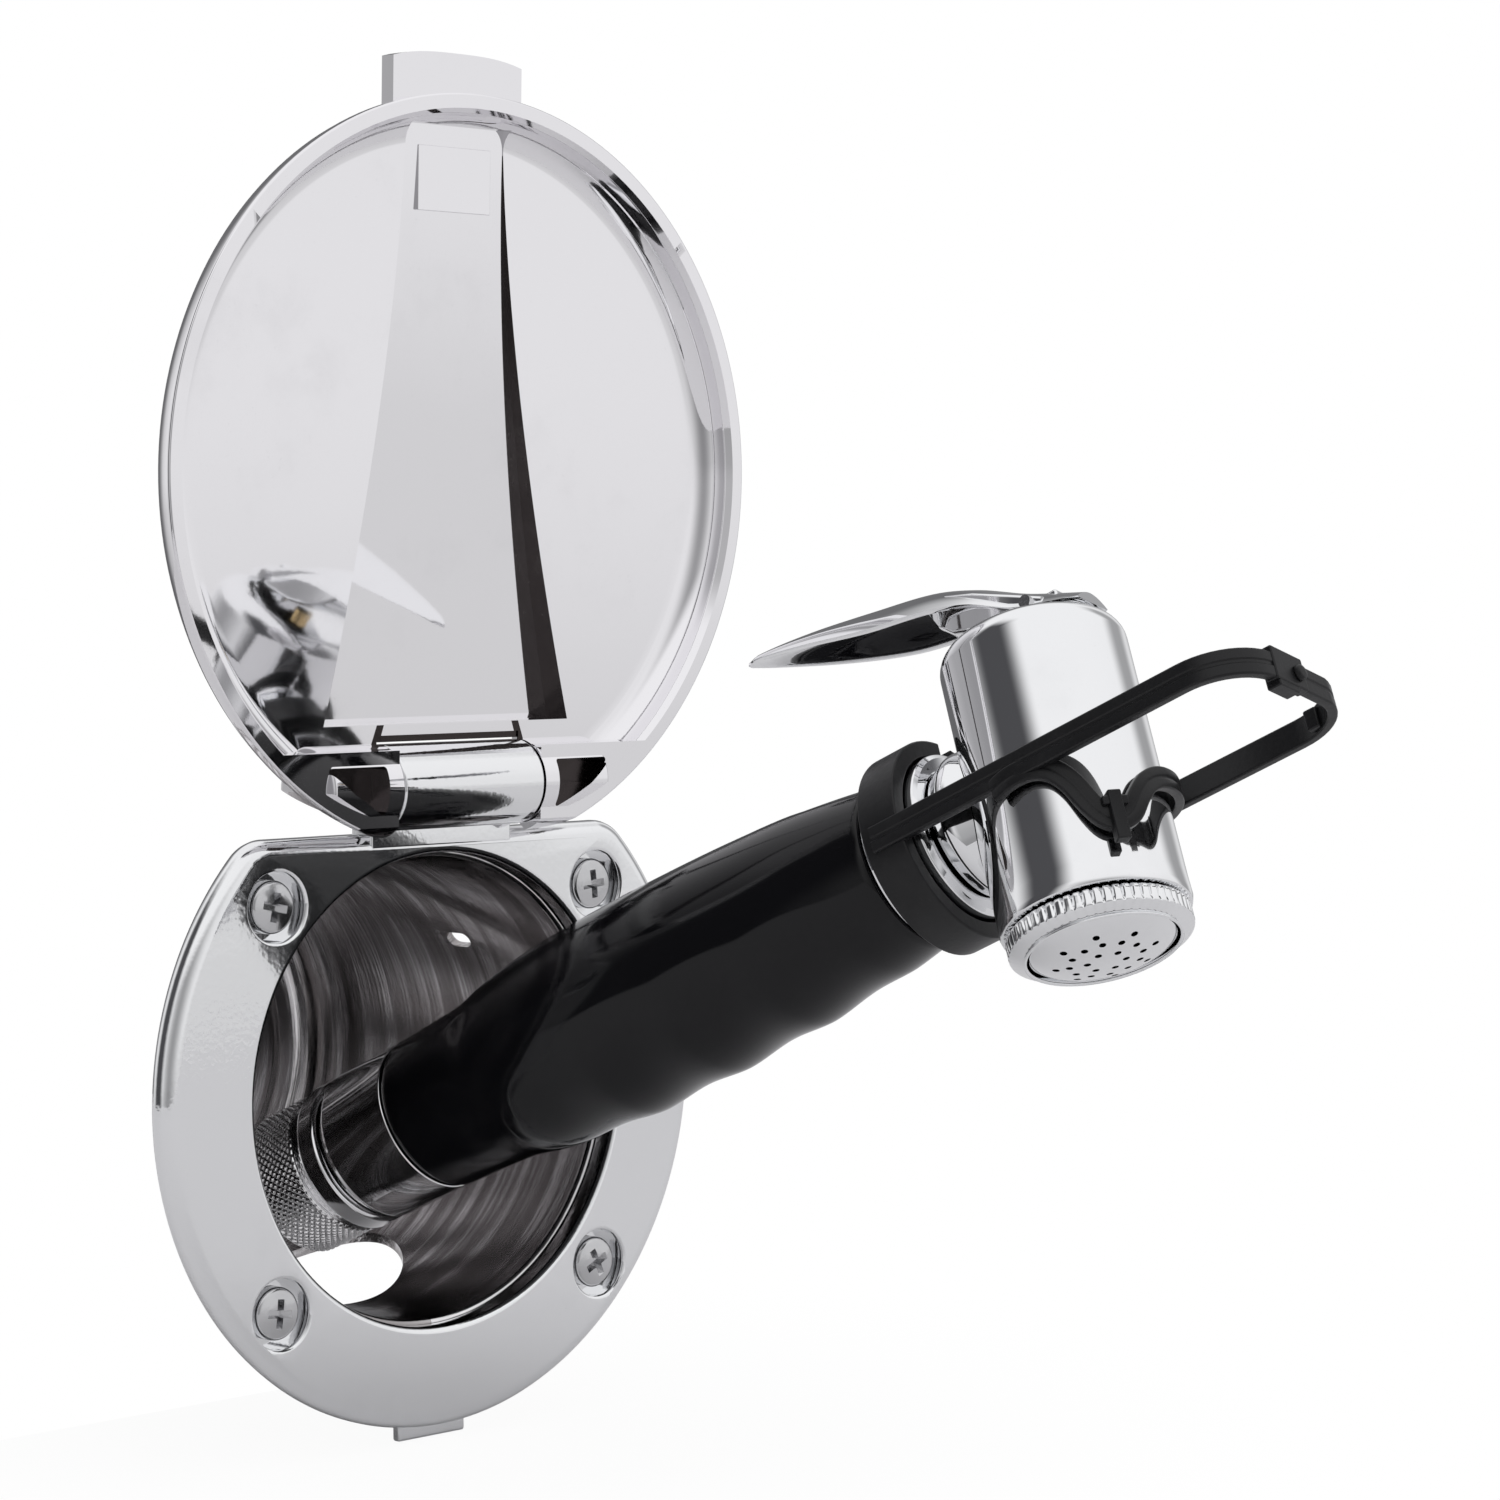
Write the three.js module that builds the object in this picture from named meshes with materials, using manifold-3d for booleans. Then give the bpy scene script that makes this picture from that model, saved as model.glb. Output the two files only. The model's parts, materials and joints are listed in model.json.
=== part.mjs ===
// Recessed transom shower: a flanged cup with a hinged lid, and a hand sprayer that stows in the cup.
// Millimetres. Y = 0 is the face that meets the transom, -Y points outboard, +Z is up,
// and the origin is the centre of the round cut-out that the cup goes through.
import * as THREE from "three";
import { mergeVertices } from "three/addons/utils/BufferGeometryUtils.js";
import Module from "manifold-3d";

const wasm = await Module();
wasm.setup();

// ---------- driving dimensions ----------
const GAP = 0.3; // clearance between touching pieces
const ROUND = 40; // sides of a large round
const SMALL_ROUND = 20; // sides of a small round

const GASKET_T = 1.2;
const FLANGE_FRONT = -8;
const FLANGE_BACK = -GASKET_T - GAP;
const FLANGE_R = 63.5; // five inches across
const FLANGE_RISE = 1.3; // the flange's circle is centred this far above the cut-out
const FLANGE_TOP = 46.5; // height of the flat top edge above that circle's centre
const FLANGE_CORNER = 9;
const PLATE_T = 4; // front wall of the hollow-backed flange
const SKIRT_T = 3.2;
const OPENING_R = 43.7;
const SCREW_X = 38.4;
const SCREW_Z_HIGH = 35.8;
const SCREW_Z_LOW = -36.6;
const COUNTERBORE_R = 6.4;
const SCREW_HEAD_R = 4.8;
const SCREW_SHANK_R = 2.4;
const SCREW_REACH = 24; // shank length behind the mounting face

const CUP_R = 42.8; // inside radius of the cup
const CUP_WALL = 1.6;
const CUP_BACK = 84; // depth of the cup's floor behind the mounting face
const CUP_LIP_R = 45.8;
const HOLE_Y = 42; // centre of the handle hole in the cup's underside
const HOLE_R = 22;
const HOLE_SHIFT = 3; // half of the hole's straight length

const HINGE_Y = -10;
const HINGE_Z = 56.3;
const BARREL_R = 7.8;
const SWING_R = 8.6; // the lid's root stays inside this round, so that it clears the flange as it swings
const KNUCKLE_HALF = 16.75;
const EAR_END = 33;
const PIN_R = 2.2;

const LID_R = 68.7;
const LID_RIM = 3.8; // width of the flat rim
const LID_ARM = 56.4; // hinge axis to the lid's centre
const LID_FACE = 6.3; // hinge axis to the rim's face
const LID_DISH = 6.5;
const LID_WALL = 1.7;
const LID_LEAN = 1.8; // degrees that the open lid leans outboard
const WEDGE_DEPTH = 8;
const WEDGE_LOW = -42.5; // the wedge's ends, from the lid's centre
const WEDGE_HIGH = 62;

const SPRAYER_AT = [11.4, 8, -6.7]; // joint of collar and grip
const SPRAYER_YAW = 11.6;
const SPRAYER_PITCH = 25.5;
const SPRAYER_ROLL = 18;
const GRIP_LENGTH = 117;
const HEAD_AT = 150; // head axis, along the handle from the same joint
const HEAD_R = 16.5;
const HEAD_TOP = 27;
const HEAD_FOOT = -26;

// ---------- finishes ----------
const finish = (color, roughness, metalness) => new THREE.MeshStandardMaterial({ color, roughness, metalness });
const chrome = () => finish(0xd9dbde, 0.08, 1);
const steel = () => finish(0xa9abae, 0.3, 1);
const brass = () => finish(0xb79a55, 0.35, 1);
const blackGloss = () => finish(0x0b0b0d, 0.18, 0);
const blackMatt = () => finish(0x161618, 0.5, 0);
const rubber = () => finish(0x1c1c1c, 0.85, 0);

// ---------- solid helpers ----------
// A closed geometry as a solid that can be joined and cut.
function solid(geometry) {
  const bare = geometry.index ? geometry.toNonIndexed() : geometry.clone();
  bare.deleteAttribute("normal");
  bare.deleteAttribute("uv");
  const merged = mergeVertices(bare, 1e-4);
  const corners = merged.index.array;
  const kept = [];
  for (let i = 0; i < corners.length; i += 3) {
    const [a, b, c] = [corners[i], corners[i + 1], corners[i + 2]];
    if (a !== b && b !== c && a !== c) kept.push(a, b, c);
  }
  const made = manifoldOf(merged, kept);
  return made.volume() < 0 ? manifoldOf(merged, kept.reverse()) : made;
}

function manifoldOf(merged, triangles) {
  return new wasm.Manifold(
    new wasm.Mesh({
      numProp: 3,
      vertProperties: new Float32Array(merged.attributes.position.array),
      triVerts: new Uint32Array(triangles),
    }),
  );
}

function geometryOf(body) {
  const made = body.getMesh();
  const geometry = new THREE.BufferGeometry();
  geometry.setAttribute("position", new THREE.BufferAttribute(new Float32Array(made.vertProperties), 3));
  geometry.setIndex(new THREE.BufferAttribute(new Uint32Array(made.triVerts), 1));
  geometry.computeVertexNormals();
  return geometry;
}

function piece(name, body, material) {
  const mesh = new THREE.Mesh(geometryOf(body), material);
  mesh.name = name;
  return mesh;
}

// A closed turned form about Z from [radius, z] points; arcs are made with bend().
function turned(points, sides = ROUND) {
  let area = 0;
  points.forEach(([r, z], i) => {
    const [r2, z2] = points[(i + 1) % points.length];
    area += r * z2 - r2 * z;
  });
  const ordered = area > 0 ? points : [...points].reverse();
  const onAxis = ordered.filter(([r]) => r === 0).length;
  const profile = ordered.map(([r, z]) => new THREE.Vector2(r, z));
  if (onAxis === 0) profile.push(profile[0].clone());
  if (onAxis > 0) {
    while (!(profile[0].x === 0 && profile[profile.length - 1].x === 0)) profile.push(profile.shift());
  }
  return solid(new THREE.LatheGeometry(profile, sides).rotateX(Math.PI / 2));
}

// Points of an arc in a profile, angles in degrees.
function bend(centreR, centreZ, radius, from, to, steps = 4) {
  const points = [];
  for (let i = 0; i <= steps; i++) {
    const a = THREE.MathUtils.degToRad(from + ((to - from) * i) / steps);
    points.push([centreR + radius * Math.cos(a), centreZ + radius * Math.sin(a)]);
  }
  return points;
}

const rod = (radius, z0, z1, sides = SMALL_ROUND) =>
  turned([[0, z0], [radius, z0], [radius, z1], [0, z1]], sides);

const tube = (inner, outer, z0, z1, sides = ROUND) =>
  turned([[inner, z0], [outer, z0], [outer, z1], [inner, z1]], sides);

const block = (x0, x1, y0, y1, z0, z1) =>
  solid(new THREE.BoxGeometry(x1 - x0, y1 - y0, z1 - z0)
    .translate((x0 + x1) / 2, (y0 + y1) / 2, (z0 + z1) / 2));

// Turns of a solid made about Z.
const QUARTER = 90;
const alongX = (body) => body.rotate([0, QUARTER, 0]);
const intoTransom = (body) => body.rotate([-QUARTER, 0, 0]); // +Z becomes +Y
const cross = (body) => body.rotate([-QUARTER, 0, 0]); // the sprayer's Z becomes its Y

// ---------- flange housing ----------
// Outline of the flange: a circle with a flat top and rounded corners.
function flangeOutline(radius, top, corner) {
  const inner = radius - corner;
  const rise = top - corner;
  const reach = Math.sqrt(inner * inner - rise * rise);
  const turn = Math.atan2(rise, reach);
  const right = new THREE.EllipseCurve(reach, rise, corner, corner, turn, Math.PI / 2);
  const left = new THREE.EllipseCurve(-reach, rise, corner, corner, Math.PI / 2, Math.PI - turn);
  const round = new THREE.EllipseCurve(0, 0, radius, radius, Math.PI - turn, 2 * Math.PI + turn);
  return new THREE.Shape([...right.getPoints(5), ...left.getPoints(5), ...round.getPoints(52).slice(1, -1)]);
}

// A plate with the flange's outline between two depths, stood up to face outboard.
function flangeSlab(radius, top, corner, front, back, bevel = 0) {
  const geometry = new THREE.ExtrudeGeometry(flangeOutline(radius - bevel, top - bevel, corner - bevel), {
    depth: back - front - 2 * bevel,
    bevelEnabled: bevel > 0,
    bevelThickness: bevel,
    bevelSize: bevel,
    bevelSegments: 2,
  });
  const slab = solid(geometry.translate(0, 0, bevel)).mirror([0, 1, 0]);
  return intoTransom(slab).translate([0, front, FLANGE_RISE]);
}

const screwPlaces = [
  ["screw_top_left", -SCREW_X, SCREW_Z_HIGH],
  ["screw_top_right", SCREW_X, SCREW_Z_HIGH],
  ["screw_bottom_left", -SCREW_X, SCREW_Z_LOW],
  ["screw_bottom_right", SCREW_X, SCREW_Z_LOW],
];

const upright = (body, x, y, z) => intoTransom(body).translate([x, y, z]);

function flangeHousing() {
  const backRadius = FLANGE_R - 3;
  let body = flangeSlab(FLANGE_R, FLANGE_TOP, FLANGE_CORNER, FLANGE_FRONT, -2, 2.6);
  body = body.add(flangeSlab(backRadius, FLANGE_TOP - 1, FLANGE_CORNER, -3, FLANGE_BACK));
  const hollow = flangeSlab(
    backRadius - SKIRT_T, FLANGE_TOP - SKIRT_T - 1, FLANGE_CORNER - SKIRT_T, FLANGE_FRONT + PLATE_T, 0,
  );
  body = body.subtract(hollow);
  for (const [, x, z] of screwPlaces) {
    body = body.add(upright(rod(COUNTERBORE_R + 1.6, -5, FLANGE_BACK), x, 0, z));
  }
  body = body.subtract(upright(rod(OPENING_R, FLANGE_FRONT - 1, 1, 72), 0, 0, 0));
  const mouth = turned([[0, -9], [OPENING_R + 1.6, -9], [OPENING_R, -7], [0, -7]], 72);
  body = body.subtract(upright(mouth, 0, 0, 0));
  for (const [, x, z] of screwPlaces) {
    body = body.subtract(upright(rod(COUNTERBORE_R, FLANGE_FRONT - 1, -4.4), x, 0, z));
    body = body.subtract(upright(rod(SCREW_SHANK_R + GAP, -6, 1), x, 0, z));
  }
  const knuckle = alongX(rod(BARREL_R, -KNUCKLE_HALF, KNUCKLE_HALF, 32)).translate([0, HINGE_Y, HINGE_Z]);
  const rootFoot = FLANGE_RISE + FLANGE_TOP;
  const root = block(-KNUCKLE_HALF, KNUCKLE_HALF, -13.2, -2.2, rootFoot + 0.2, HINGE_Z)
    .add(block(-KNUCKLE_HALF, KNUCKLE_HALF, FLANGE_FRONT + 0.8, -2.2, rootFoot - 2.5, HINGE_Z));
  const catchLip = block(-8, 8, -3.4, FLANGE_BACK, -64.7, -57);
  const pinHole = alongX(rod(PIN_R + GAP, -KNUCKLE_HALF - 1, KNUCKLE_HALF + 1)).translate([0, HINGE_Y, HINGE_Z]);
  const lipRoom = upright(rod(CUP_LIP_R + GAP, FLANGE_FRONT + PLATE_T, 1, 72), 0, 0, 0);
  return body.add(knuckle).add(root).add(catchLip).subtract(pinHole).subtract(lipRoom);
}

function flangeGasket() {
  const sheet = flangeSlab(FLANGE_R - 3.6, FLANGE_TOP - 1.6, FLANGE_CORNER, -GASKET_T, 0);
  let body = sheet.subtract(upright(rod(CUP_R + CUP_WALL + 0.6, -3, 3, 72), 0, 0, 0));
  for (const [, x, z] of screwPlaces) {
    body = body.subtract(upright(rod(SCREW_SHANK_R + GAP, -3, 3), x, 0, z));
  }
  return body;
}

// Pan-head screw with a cross recess; each sits turned its own way.
function mountingScrew(turn) {
  const head = turned([
    [0, -7.5], [1.6, -7.5], ...bend(SCREW_HEAD_R - 1.5, -6.2, 1.3, -80, 0, 2), [SCREW_HEAD_R, -4.7], [0, -4.7],
  ], SMALL_ROUND);
  const shank = turned([[0, -5], [SCREW_SHANK_R, -5], [SCREW_SHANK_R, SCREW_REACH - 4], [0, SCREW_REACH]], 12);
  const slot = block(-2.6, 2.6, -0.55, 0.55, -9, -6);
  const recess = slot.add(slot.rotate([0, 0, QUARTER]));
  return head.add(shank).subtract(recess).rotate([0, 0, turn]);
}

// ---------- cup ----------
function cup() {
  const outer = CUP_R + CUP_WALL;
  const fillet = 7;
  const front = FLANGE_FRONT + PLATE_T + GAP;
  const step = 32; // radius of the raised ring pressed into the back
  const shell = turned([
    [CUP_R, front], [CUP_LIP_R, front], [CUP_LIP_R, front + CUP_WALL], [outer, front + CUP_WALL],
    ...bend(outer - fillet, CUP_BACK - fillet + CUP_WALL, fillet, 0, 90),
    [step + 1, CUP_BACK + CUP_WALL], [step - 1, CUP_BACK - 1], [0, CUP_BACK - 1],
    [0, CUP_BACK - 1 - CUP_WALL], [step - 1.6, CUP_BACK - 1 - CUP_WALL], [step + 0.4, CUP_BACK],
    ...bend(CUP_R - fillet + CUP_WALL, CUP_BACK - fillet + CUP_WALL, fillet - CUP_WALL, 90, 0),
  ], 56);
  let body = intoTransom(shell);
  const hole = rod(HOLE_R, -60, -30, 40);
  const slot = hole.translate([-HOLE_SHIFT, HOLE_Y, 0])
    .add(hole.translate([HOLE_SHIFT, HOLE_Y, 0]))
    .add(block(-HOLE_SHIFT, HOLE_SHIFT, HOLE_Y - HOLE_R, HOLE_Y + HOLE_R, -60, -30));
  body = body.subtract(slot);
  // Oblong vent in the upper right of the wall.
  const ventEnd = rod(1.7, 30, 60, 16);
  const vent = ventEnd.translate([0, -1.6, 0])
    .add(ventEnd.translate([0, 1.6, 0]))
    .add(block(-1.7, 1.7, -1.6, 1.6, 30, 60));
  body = body.subtract(vent.rotate([0, 57, 0]).translate([0, 29, 0]));
  // Two dimples pressed inwards.
  const dimple = solid(new THREE.SphereGeometry(3, 12, 8));
  body = body.add(dimple.translate([22.3, 32.6, 37.9]));
  return body.add(dimple.translate([0, 10, -44]));
}

// ---------- lid ----------
// Its own frame: the hinge axis is X, Z runs up the open lid, and the hollow face looks along -Y.
const LID_SIDES = 64;
const lidInner = LID_R - LID_RIM;
const dishFloor = LID_DISH - LID_FACE;

// A block whose lower end is wider and deeper than its upper end.
function wedge(grow, base, lift) {
  const box = new THREE.BoxGeometry(2, 2, 2);
  const places = box.attributes.position;
  for (let i = 0; i < places.count; i++) {
    const low = places.getZ(i) < 0;
    const halfWidth = (low ? 28 : 11) + grow;
    const depth = dishFloor + lift + (low ? WEDGE_DEPTH : 0.2);
    const x = Math.sign(places.getX(i)) * halfWidth;
    const y = places.getY(i) < 0 ? base : depth;
    places.setXYZ(i, x, y, LID_ARM + (low ? WEDGE_LOW - grow : WEDGE_HIGH + grow));
  }
  return solid(box);
}

function lidShell() {
  const outside = LID_WALL + dishFloor;
  const pan = turned([
    [0, -LID_FACE], [LID_R - 0.6, -LID_FACE], [LID_R, -LID_FACE + 0.6],
    ...bend(LID_R - 5.5, outside - 5.5, 5.5, 0, 90), [0, outside],
  ], LID_SIDES);
  const dish = turned([
    [0, -LID_FACE - 1], [lidInner + 1.1, -LID_FACE - 1], [lidInner + 1.1, -LID_FACE], [lidInner, -LID_FACE + 1.1],
    ...bend(lidInner - 5, dishFloor - 5, 5, 0, 90), [0, dishFloor],
  ], LID_SIDES);
  const place = (body) => intoTransom(body).translate([0, 0, LID_ARM]);
  let body = place(pan).add(wedge(LID_WALL, -1, LID_WALL)).subtract(place(dish)).subtract(wedge(0, -4, 0));
  // The ears are round about the hinge axis and join the rim on both sides of the knuckle.
  const ears = alongX(rod(BARREL_R, -EAR_END, EAR_END, 32));
  const web = block(-EAR_END, EAR_END, -LID_FACE, outside, 0, 9.5)
    .intersect(alongX(rod(SWING_R, -80, 80, 32)).add(block(-80, 80, -2, 20, 0, 20)));
  body = body.add(web).add(ears);
  // Room for the flange's knuckle, and for the flange's top edge as the lid swings past it.
  const knuckleHalf = KNUCKLE_HALF + GAP;
  body = body.subtract(block(-knuckleHalf, knuckleHalf, -20, 20, -12, BARREL_R + 1.4));
  const under = block(-80, 80, -20, 20, -20, 0).subtract(alongX(rod(BARREL_R, -80, 80, 32)));
  body = body.subtract(under);
  // Hollow pockets between each ear and the rim.
  for (const side of [-1, 1]) {
    const pocket = new THREE.Shape();
    pocket.moveTo(side * 21.5, 5.5);
    pocket.lineTo(side * 31.5, 5.5);
    pocket.lineTo(side * 21.5, -3.5);
    pocket.closePath();
    const cut = solid(new THREE.ExtrudeGeometry(pocket, { depth: 4, bevelEnabled: false }).rotateX(Math.PI / 2));
    body = body.subtract(cut.translate([0, -5, 0]));
  }
  body = body.subtract(alongX(rod(PIN_R + GAP, -31, 31)));
  // Thumb tab beyond the rim, with rounded corners.
  const tab = new THREE.Shape();
  const tabTop = LID_ARM + LID_R + 8;
  const tabHalf = 16.7;
  tab.moveTo(-tabHalf, LID_ARM + LID_R - 5);
  tab.lineTo(tabHalf, LID_ARM + LID_R - 5);
  tab.lineTo(tabHalf, tabTop - 3);
  tab.absarc(tabHalf - 3, tabTop - 3, 3, 0, Math.PI / 2, false);
  tab.absarc(-tabHalf + 3, tabTop - 3, 3, Math.PI / 2, Math.PI, false);
  tab.closePath();
  const thick = solid(new THREE.ExtrudeGeometry(tab, { depth: 6.4, curveSegments: 6, bevelEnabled: false })
    .rotateX(Math.PI / 2).translate(0, 1.2, 0));
  return body.add(thick.subtract(place(dish)));
}

const latchPad = () => block(-8.5, 8.5, dishFloor - 1.4, dishFloor - GAP, LID_ARM + 48, LID_ARM + 59);

// ---------- sprayer ----------
// Its own frame: Z runs along the handle towards the head, Y up the head, and the origin is where collar meets grip.
const NUT_R = 14.2;
const COLLAR_R = 14.8;

const hoseNut = () => turned([
  [10.6, -37], [NUT_R - 1, -37], [NUT_R, -36], [NUT_R, -25.2], [NUT_R - 0.7, -24.6], [NUT_R - 0.7, -23.4],
  [NUT_R + 0.4, -22], [NUT_R + 0.2, -18.9], [NUT_R - 0.6, -18.1], [6.2, -18.1], [6.2, -20.5], [10.6, -20.5],
]);

const hoseWasher = () => tube(4.2, 10.2, -24.6, -22.4, SMALL_ROUND);

function collar() {
  return turned([
    [4, -17.8], [COLLAR_R - 1.4, -17.8], [COLLAR_R - 1.4, -17.2], [COLLAR_R - 0.4, -16.6], [COLLAR_R, -16],
    [COLLAR_R, -GAP], [5.8, -GAP], [5.8, -6], [4, -6],
  ]);
}

const inletSpigot = () => turned([[4, -22.1], [10, -22.1], [10, -20.8], [5.9, -20.8], [5.9, -18.1], [4, -18.1]],
  SMALL_ROUND);

// Radius of the grip along its length, in [position, radius] pairs.
const GRIP_PROFILE = [[0, 14.9], [9, 15.2], [18, 15.8], [25, 17.3], [38, 18.8], [56, 19.2], [72, 19], [86, 18.5],
  [98, 17.8], [108, 16.6], [GRIP_LENGTH, 15.2]];
const GRIP_BORE = 6.2;

function grip() {
  const curve = new THREE.SplineCurve(GRIP_PROFILE.map(([z, r]) => new THREE.Vector2(z, r)));
  const outer = curve.getPoints(24).map((p) => [p.y, p.x]);
  const profile = [[GRIP_BORE, 0], ...outer, [GRIP_BORE, GRIP_LENGTH]];
  const geometry = new THREE.LatheGeometry(
    [...profile, profile[0]].map(([r, z]) => new THREE.Vector2(r, z)), ROUND).rotateX(Math.PI / 2);
  // Four finger hollows along the underside.
  const places = geometry.attributes.position;
  for (let i = 0; i < places.count; i++) {
    const [x, y, z] = [places.getX(i), places.getY(i), places.getZ(i)];
    const radius = Math.hypot(x, y);
    if (radius < GRIP_BORE + 1 || y > 0 || z < 28 || z > 108) continue;
    const under = (-y / radius) ** 3;
    const hollow = 1.5 * under * Math.sin((Math.PI * (z - 28)) / 20) ** 2;
    const shrink = (radius - hollow) / radius;
    places.setXYZ(i, x * shrink, y * shrink, z);
  }
  return solid(geometry);
}

const waterTube = () => tube(4, 5.6, -5.8, GRIP_LENGTH + 7, SMALL_ROUND);

const endRing = () => turned([
  [6.1, GRIP_LENGTH + GAP], [15.3, GRIP_LENGTH + GAP], [15.3, 129], [14.6, 129.6], [6.1, 129.6],
]);

function neck() {
  const body = turned([
    [6.1, 130], [12.6, 130], ...bend(9.4, 134.5, 4.4, -50, 40, 4), [11.6, 139], [11.6, 141], [6.1, 141],
  ]);
  const around = cross(rod(HEAD_R + GAP, -40, 40, ROUND)).translate([0, 0, HEAD_AT]);
  return body.subtract(around);
}

// The head stands across the handle. Its pieces are made about Z with +Y towards the hose, then turned.
const across = (body) => body.rotate([-QUARTER, 0, 0]).translate([0, 0, HEAD_AT]);
const STEM_BACK = 3.5; // the valve stem stands this far behind the head's axis
const PIVOT_BACK = -5.5;
const PIVOT_UP = HEAD_TOP + 4;
const atStem = (body) => body.translate([0, STEM_BACK, 0]);

function headBody() {
  const body = turned([
    [0, HEAD_FOOT], [HEAD_R + 0.1, HEAD_FOOT], [HEAD_R + 0.2, HEAD_FOOT + 2],
    ...bend(HEAD_R - 4, HEAD_TOP - 4, 4, 0, 90, 5), [0, HEAD_TOP],
  ]);
  const nozzleRoom = rod(13.6, HEAD_FOOT - 1, -17, 32);
  const chamber = turned([
    [0, -18], [8.9, -18], [8.9, 8], [6.2, 8], [6.2, 20], [2.3, 20], [2.3, HEAD_TOP + 1], [0, HEAD_TOP + 1],
  ], 32);
  const port = rod(5.9, 0, 20).rotate([-QUARTER, 0, 0]);
  const lug = block(-2.6, 2.6, PIVOT_BACK - 3.5, PIVOT_BACK + 3.5, HEAD_TOP - 1, PIVOT_UP + 2.8);
  const pinHole = alongX(rod(1.5, -5, 5, 16)).translate([0, PIVOT_BACK, PIVOT_UP]);
  return body.add(lug).subtract(nozzleRoom).subtract(atStem(chamber)).subtract(port).subtract(pinHole);
}

const valveSeat = () => atStem(tube(3.6, 8.6, -9, -6.5, 32));
const valveWasher = () => atStem(tube(2.2, 6.5, -11, -9.3, 32));
const stemSeal = () => atStem(tube(2.3, 5.9, 16.5, 19.5, SMALL_ROUND));
const valveStem = () => atStem(turned([[0, -12.9], [6.5, -12.9], [6.5, -11.3], [1.9, -11.3], [1.9, 29.6], [0, 29.6]],
  SMALL_ROUND));

// The spring pushes the valve shut; one wire wound on a helix.
function returnSpring() {
  const turns = 3;
  const steps = 10; // of each turn
  const radius = 4.4;
  const height = 5.2;
  const points = [];
  for (let i = 0; i <= turns * steps; i++) {
    const a = (2 * Math.PI * i) / steps;
    points.push(new THREE.Vector3(radius * Math.cos(a), radius * Math.sin(a), (height * i) / (turns * steps)));
  }
  const wire = new THREE.Shape().absarc(0, 0, 0.5, 0, 2 * Math.PI, false);
  const coil = new THREE.ExtrudeGeometry(wire, {
    steps: turns * steps, curveSegments: 3, extrudePath: new THREE.CatmullRomCurve3(points), bevelEnabled: false,
  });
  return atStem(solid(coil).translate([0, 0, -20.3]));
}

// The spring stands on a disc with flow holes.
function flowDisc() {
  let disc = rod(13.2, -22.9, -21.2, 32);
  for (let i = 0; i < 6; i++) {
    disc = disc.subtract(rod(1.6, -24, -20, 10).translate([10, 0, 0]).rotate([0, 0, 60 * i + 30]));
  }
  return disc;
}

function nozzleRing() {
  return turned([
    [12.7, -31], [14.7, -31], [15.8, -29.9], [15.8, -26.4], [13.2, -26.4], [13.2, -23.3], [11.6, -23.3],
    [11.6, -28.4], [12.7, -28.4],
  ]);
}

const nozzleGasket = () => tube(9.6, 11.2, -28.4, -27, 32);

// The domed face with its rings of spray holes.
function sprayFace() {
  let face = turned([
    [0, -33.2], [4, -33], [8, -32.3], [12.3, -30.9], [12.3, -28.8], [7.8, -30.1], [4, -31], [0, -31.3],
  ], 32);
  const rings = [[4.2, 8], [7.4, 12]];
  for (const [radius, count] of rings) {
    for (let i = 0; i < count; i++) {
      const hole = rod(0.6, -35, -28, 6).translate([radius, 0, 0]).rotate([0, 0, (360 * i) / count + radius]);
      face = face.subtract(hole);
    }
  }
  return face;
}

// The lever is drawn from the side as [along the handle, up the head] and trimmed to its plan.
function lever() {
  const side = new THREE.Shape();
  side.moveTo(160, 29);
  side.quadraticCurveTo(160.5, 35.5, 152, 37);
  side.quadraticCurveTo(144, 39.5, 136, 42.8);
  side.quadraticCurveTo(116, 49.5, 92, 54);
  side.quadraticCurveTo(90.4, 53.4, 91.5, 52);
  side.quadraticCurveTo(116, 44.5, 131, 37.5);
  side.lineTo(135, 31);
  side.lineTo(147, 30.6);
  side.lineTo(152, 28);
  side.closePath();
  const profile = solid(new THREE.ExtrudeGeometry(side, { depth: 30, curveSegments: 6, bevelEnabled: false })
    .translate(0, 0, -15).rotateY(-Math.PI / 2));
  const plan = new THREE.Shape();
  plan.moveTo(-8.2, 162);
  plan.lineTo(8.2, 162);
  plan.lineTo(8.4, 136);
  plan.quadraticCurveTo(8, 108, 4, 95);
  plan.quadraticCurveTo(0, 87, -4, 95);
  plan.quadraticCurveTo(-8, 108, -8.4, 136);
  plan.closePath();
  const trim = solid(new THREE.ExtrudeGeometry(plan, { depth: 40, curveSegments: 8, bevelEnabled: false })
    .rotateX(Math.PI / 2).translate(0, 62, 0));
  const fork = block(-2.9, 2.9, 10, HEAD_TOP + 7.6, HEAD_AT - PIVOT_BACK - 4.6, 170);
  const pinHole = alongX(rod(1.5, -12, 12, 16)).translate([0, PIVOT_UP, HEAD_AT - PIVOT_BACK]);
  return profile.intersect(trim).subtract(fork).subtract(pinHole);
}

const leverPin = () => alongX(rod(1.2, -7.9, 7.9, 16)).translate([0, PIVOT_UP, HEAD_AT - PIVOT_BACK]);

// A flat strip bent along a path: place(s, side, rise) gives each corner, s from 0 to 1.
function strip(steps, place) {
  const geometry = new THREE.BoxGeometry(1, 1, 1, steps, 1, 1);
  const corners = geometry.attributes.position;
  for (let i = 0; i < corners.count; i++) {
    const [s, side, rise] = [corners.getX(i) + 0.5, corners.getY(i) * 2, corners.getZ(i) * 2];
    corners.setXYZ(i, ...place(s, side, rise));
  }
  return solid(geometry);
}

// Clip: a split ring round the neck's collar, a loop past the head, and a wavy strap across its front.
const CLIP_RISE = -2.5;
const STRAP_HALF = 2.5;
const STRAP_T = 1.8;
const LOOP_HALF = 17.9;
const LOOP_START = 121;
const LOOP_END = 201;
const LOOP_CORNER = 12;
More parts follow.
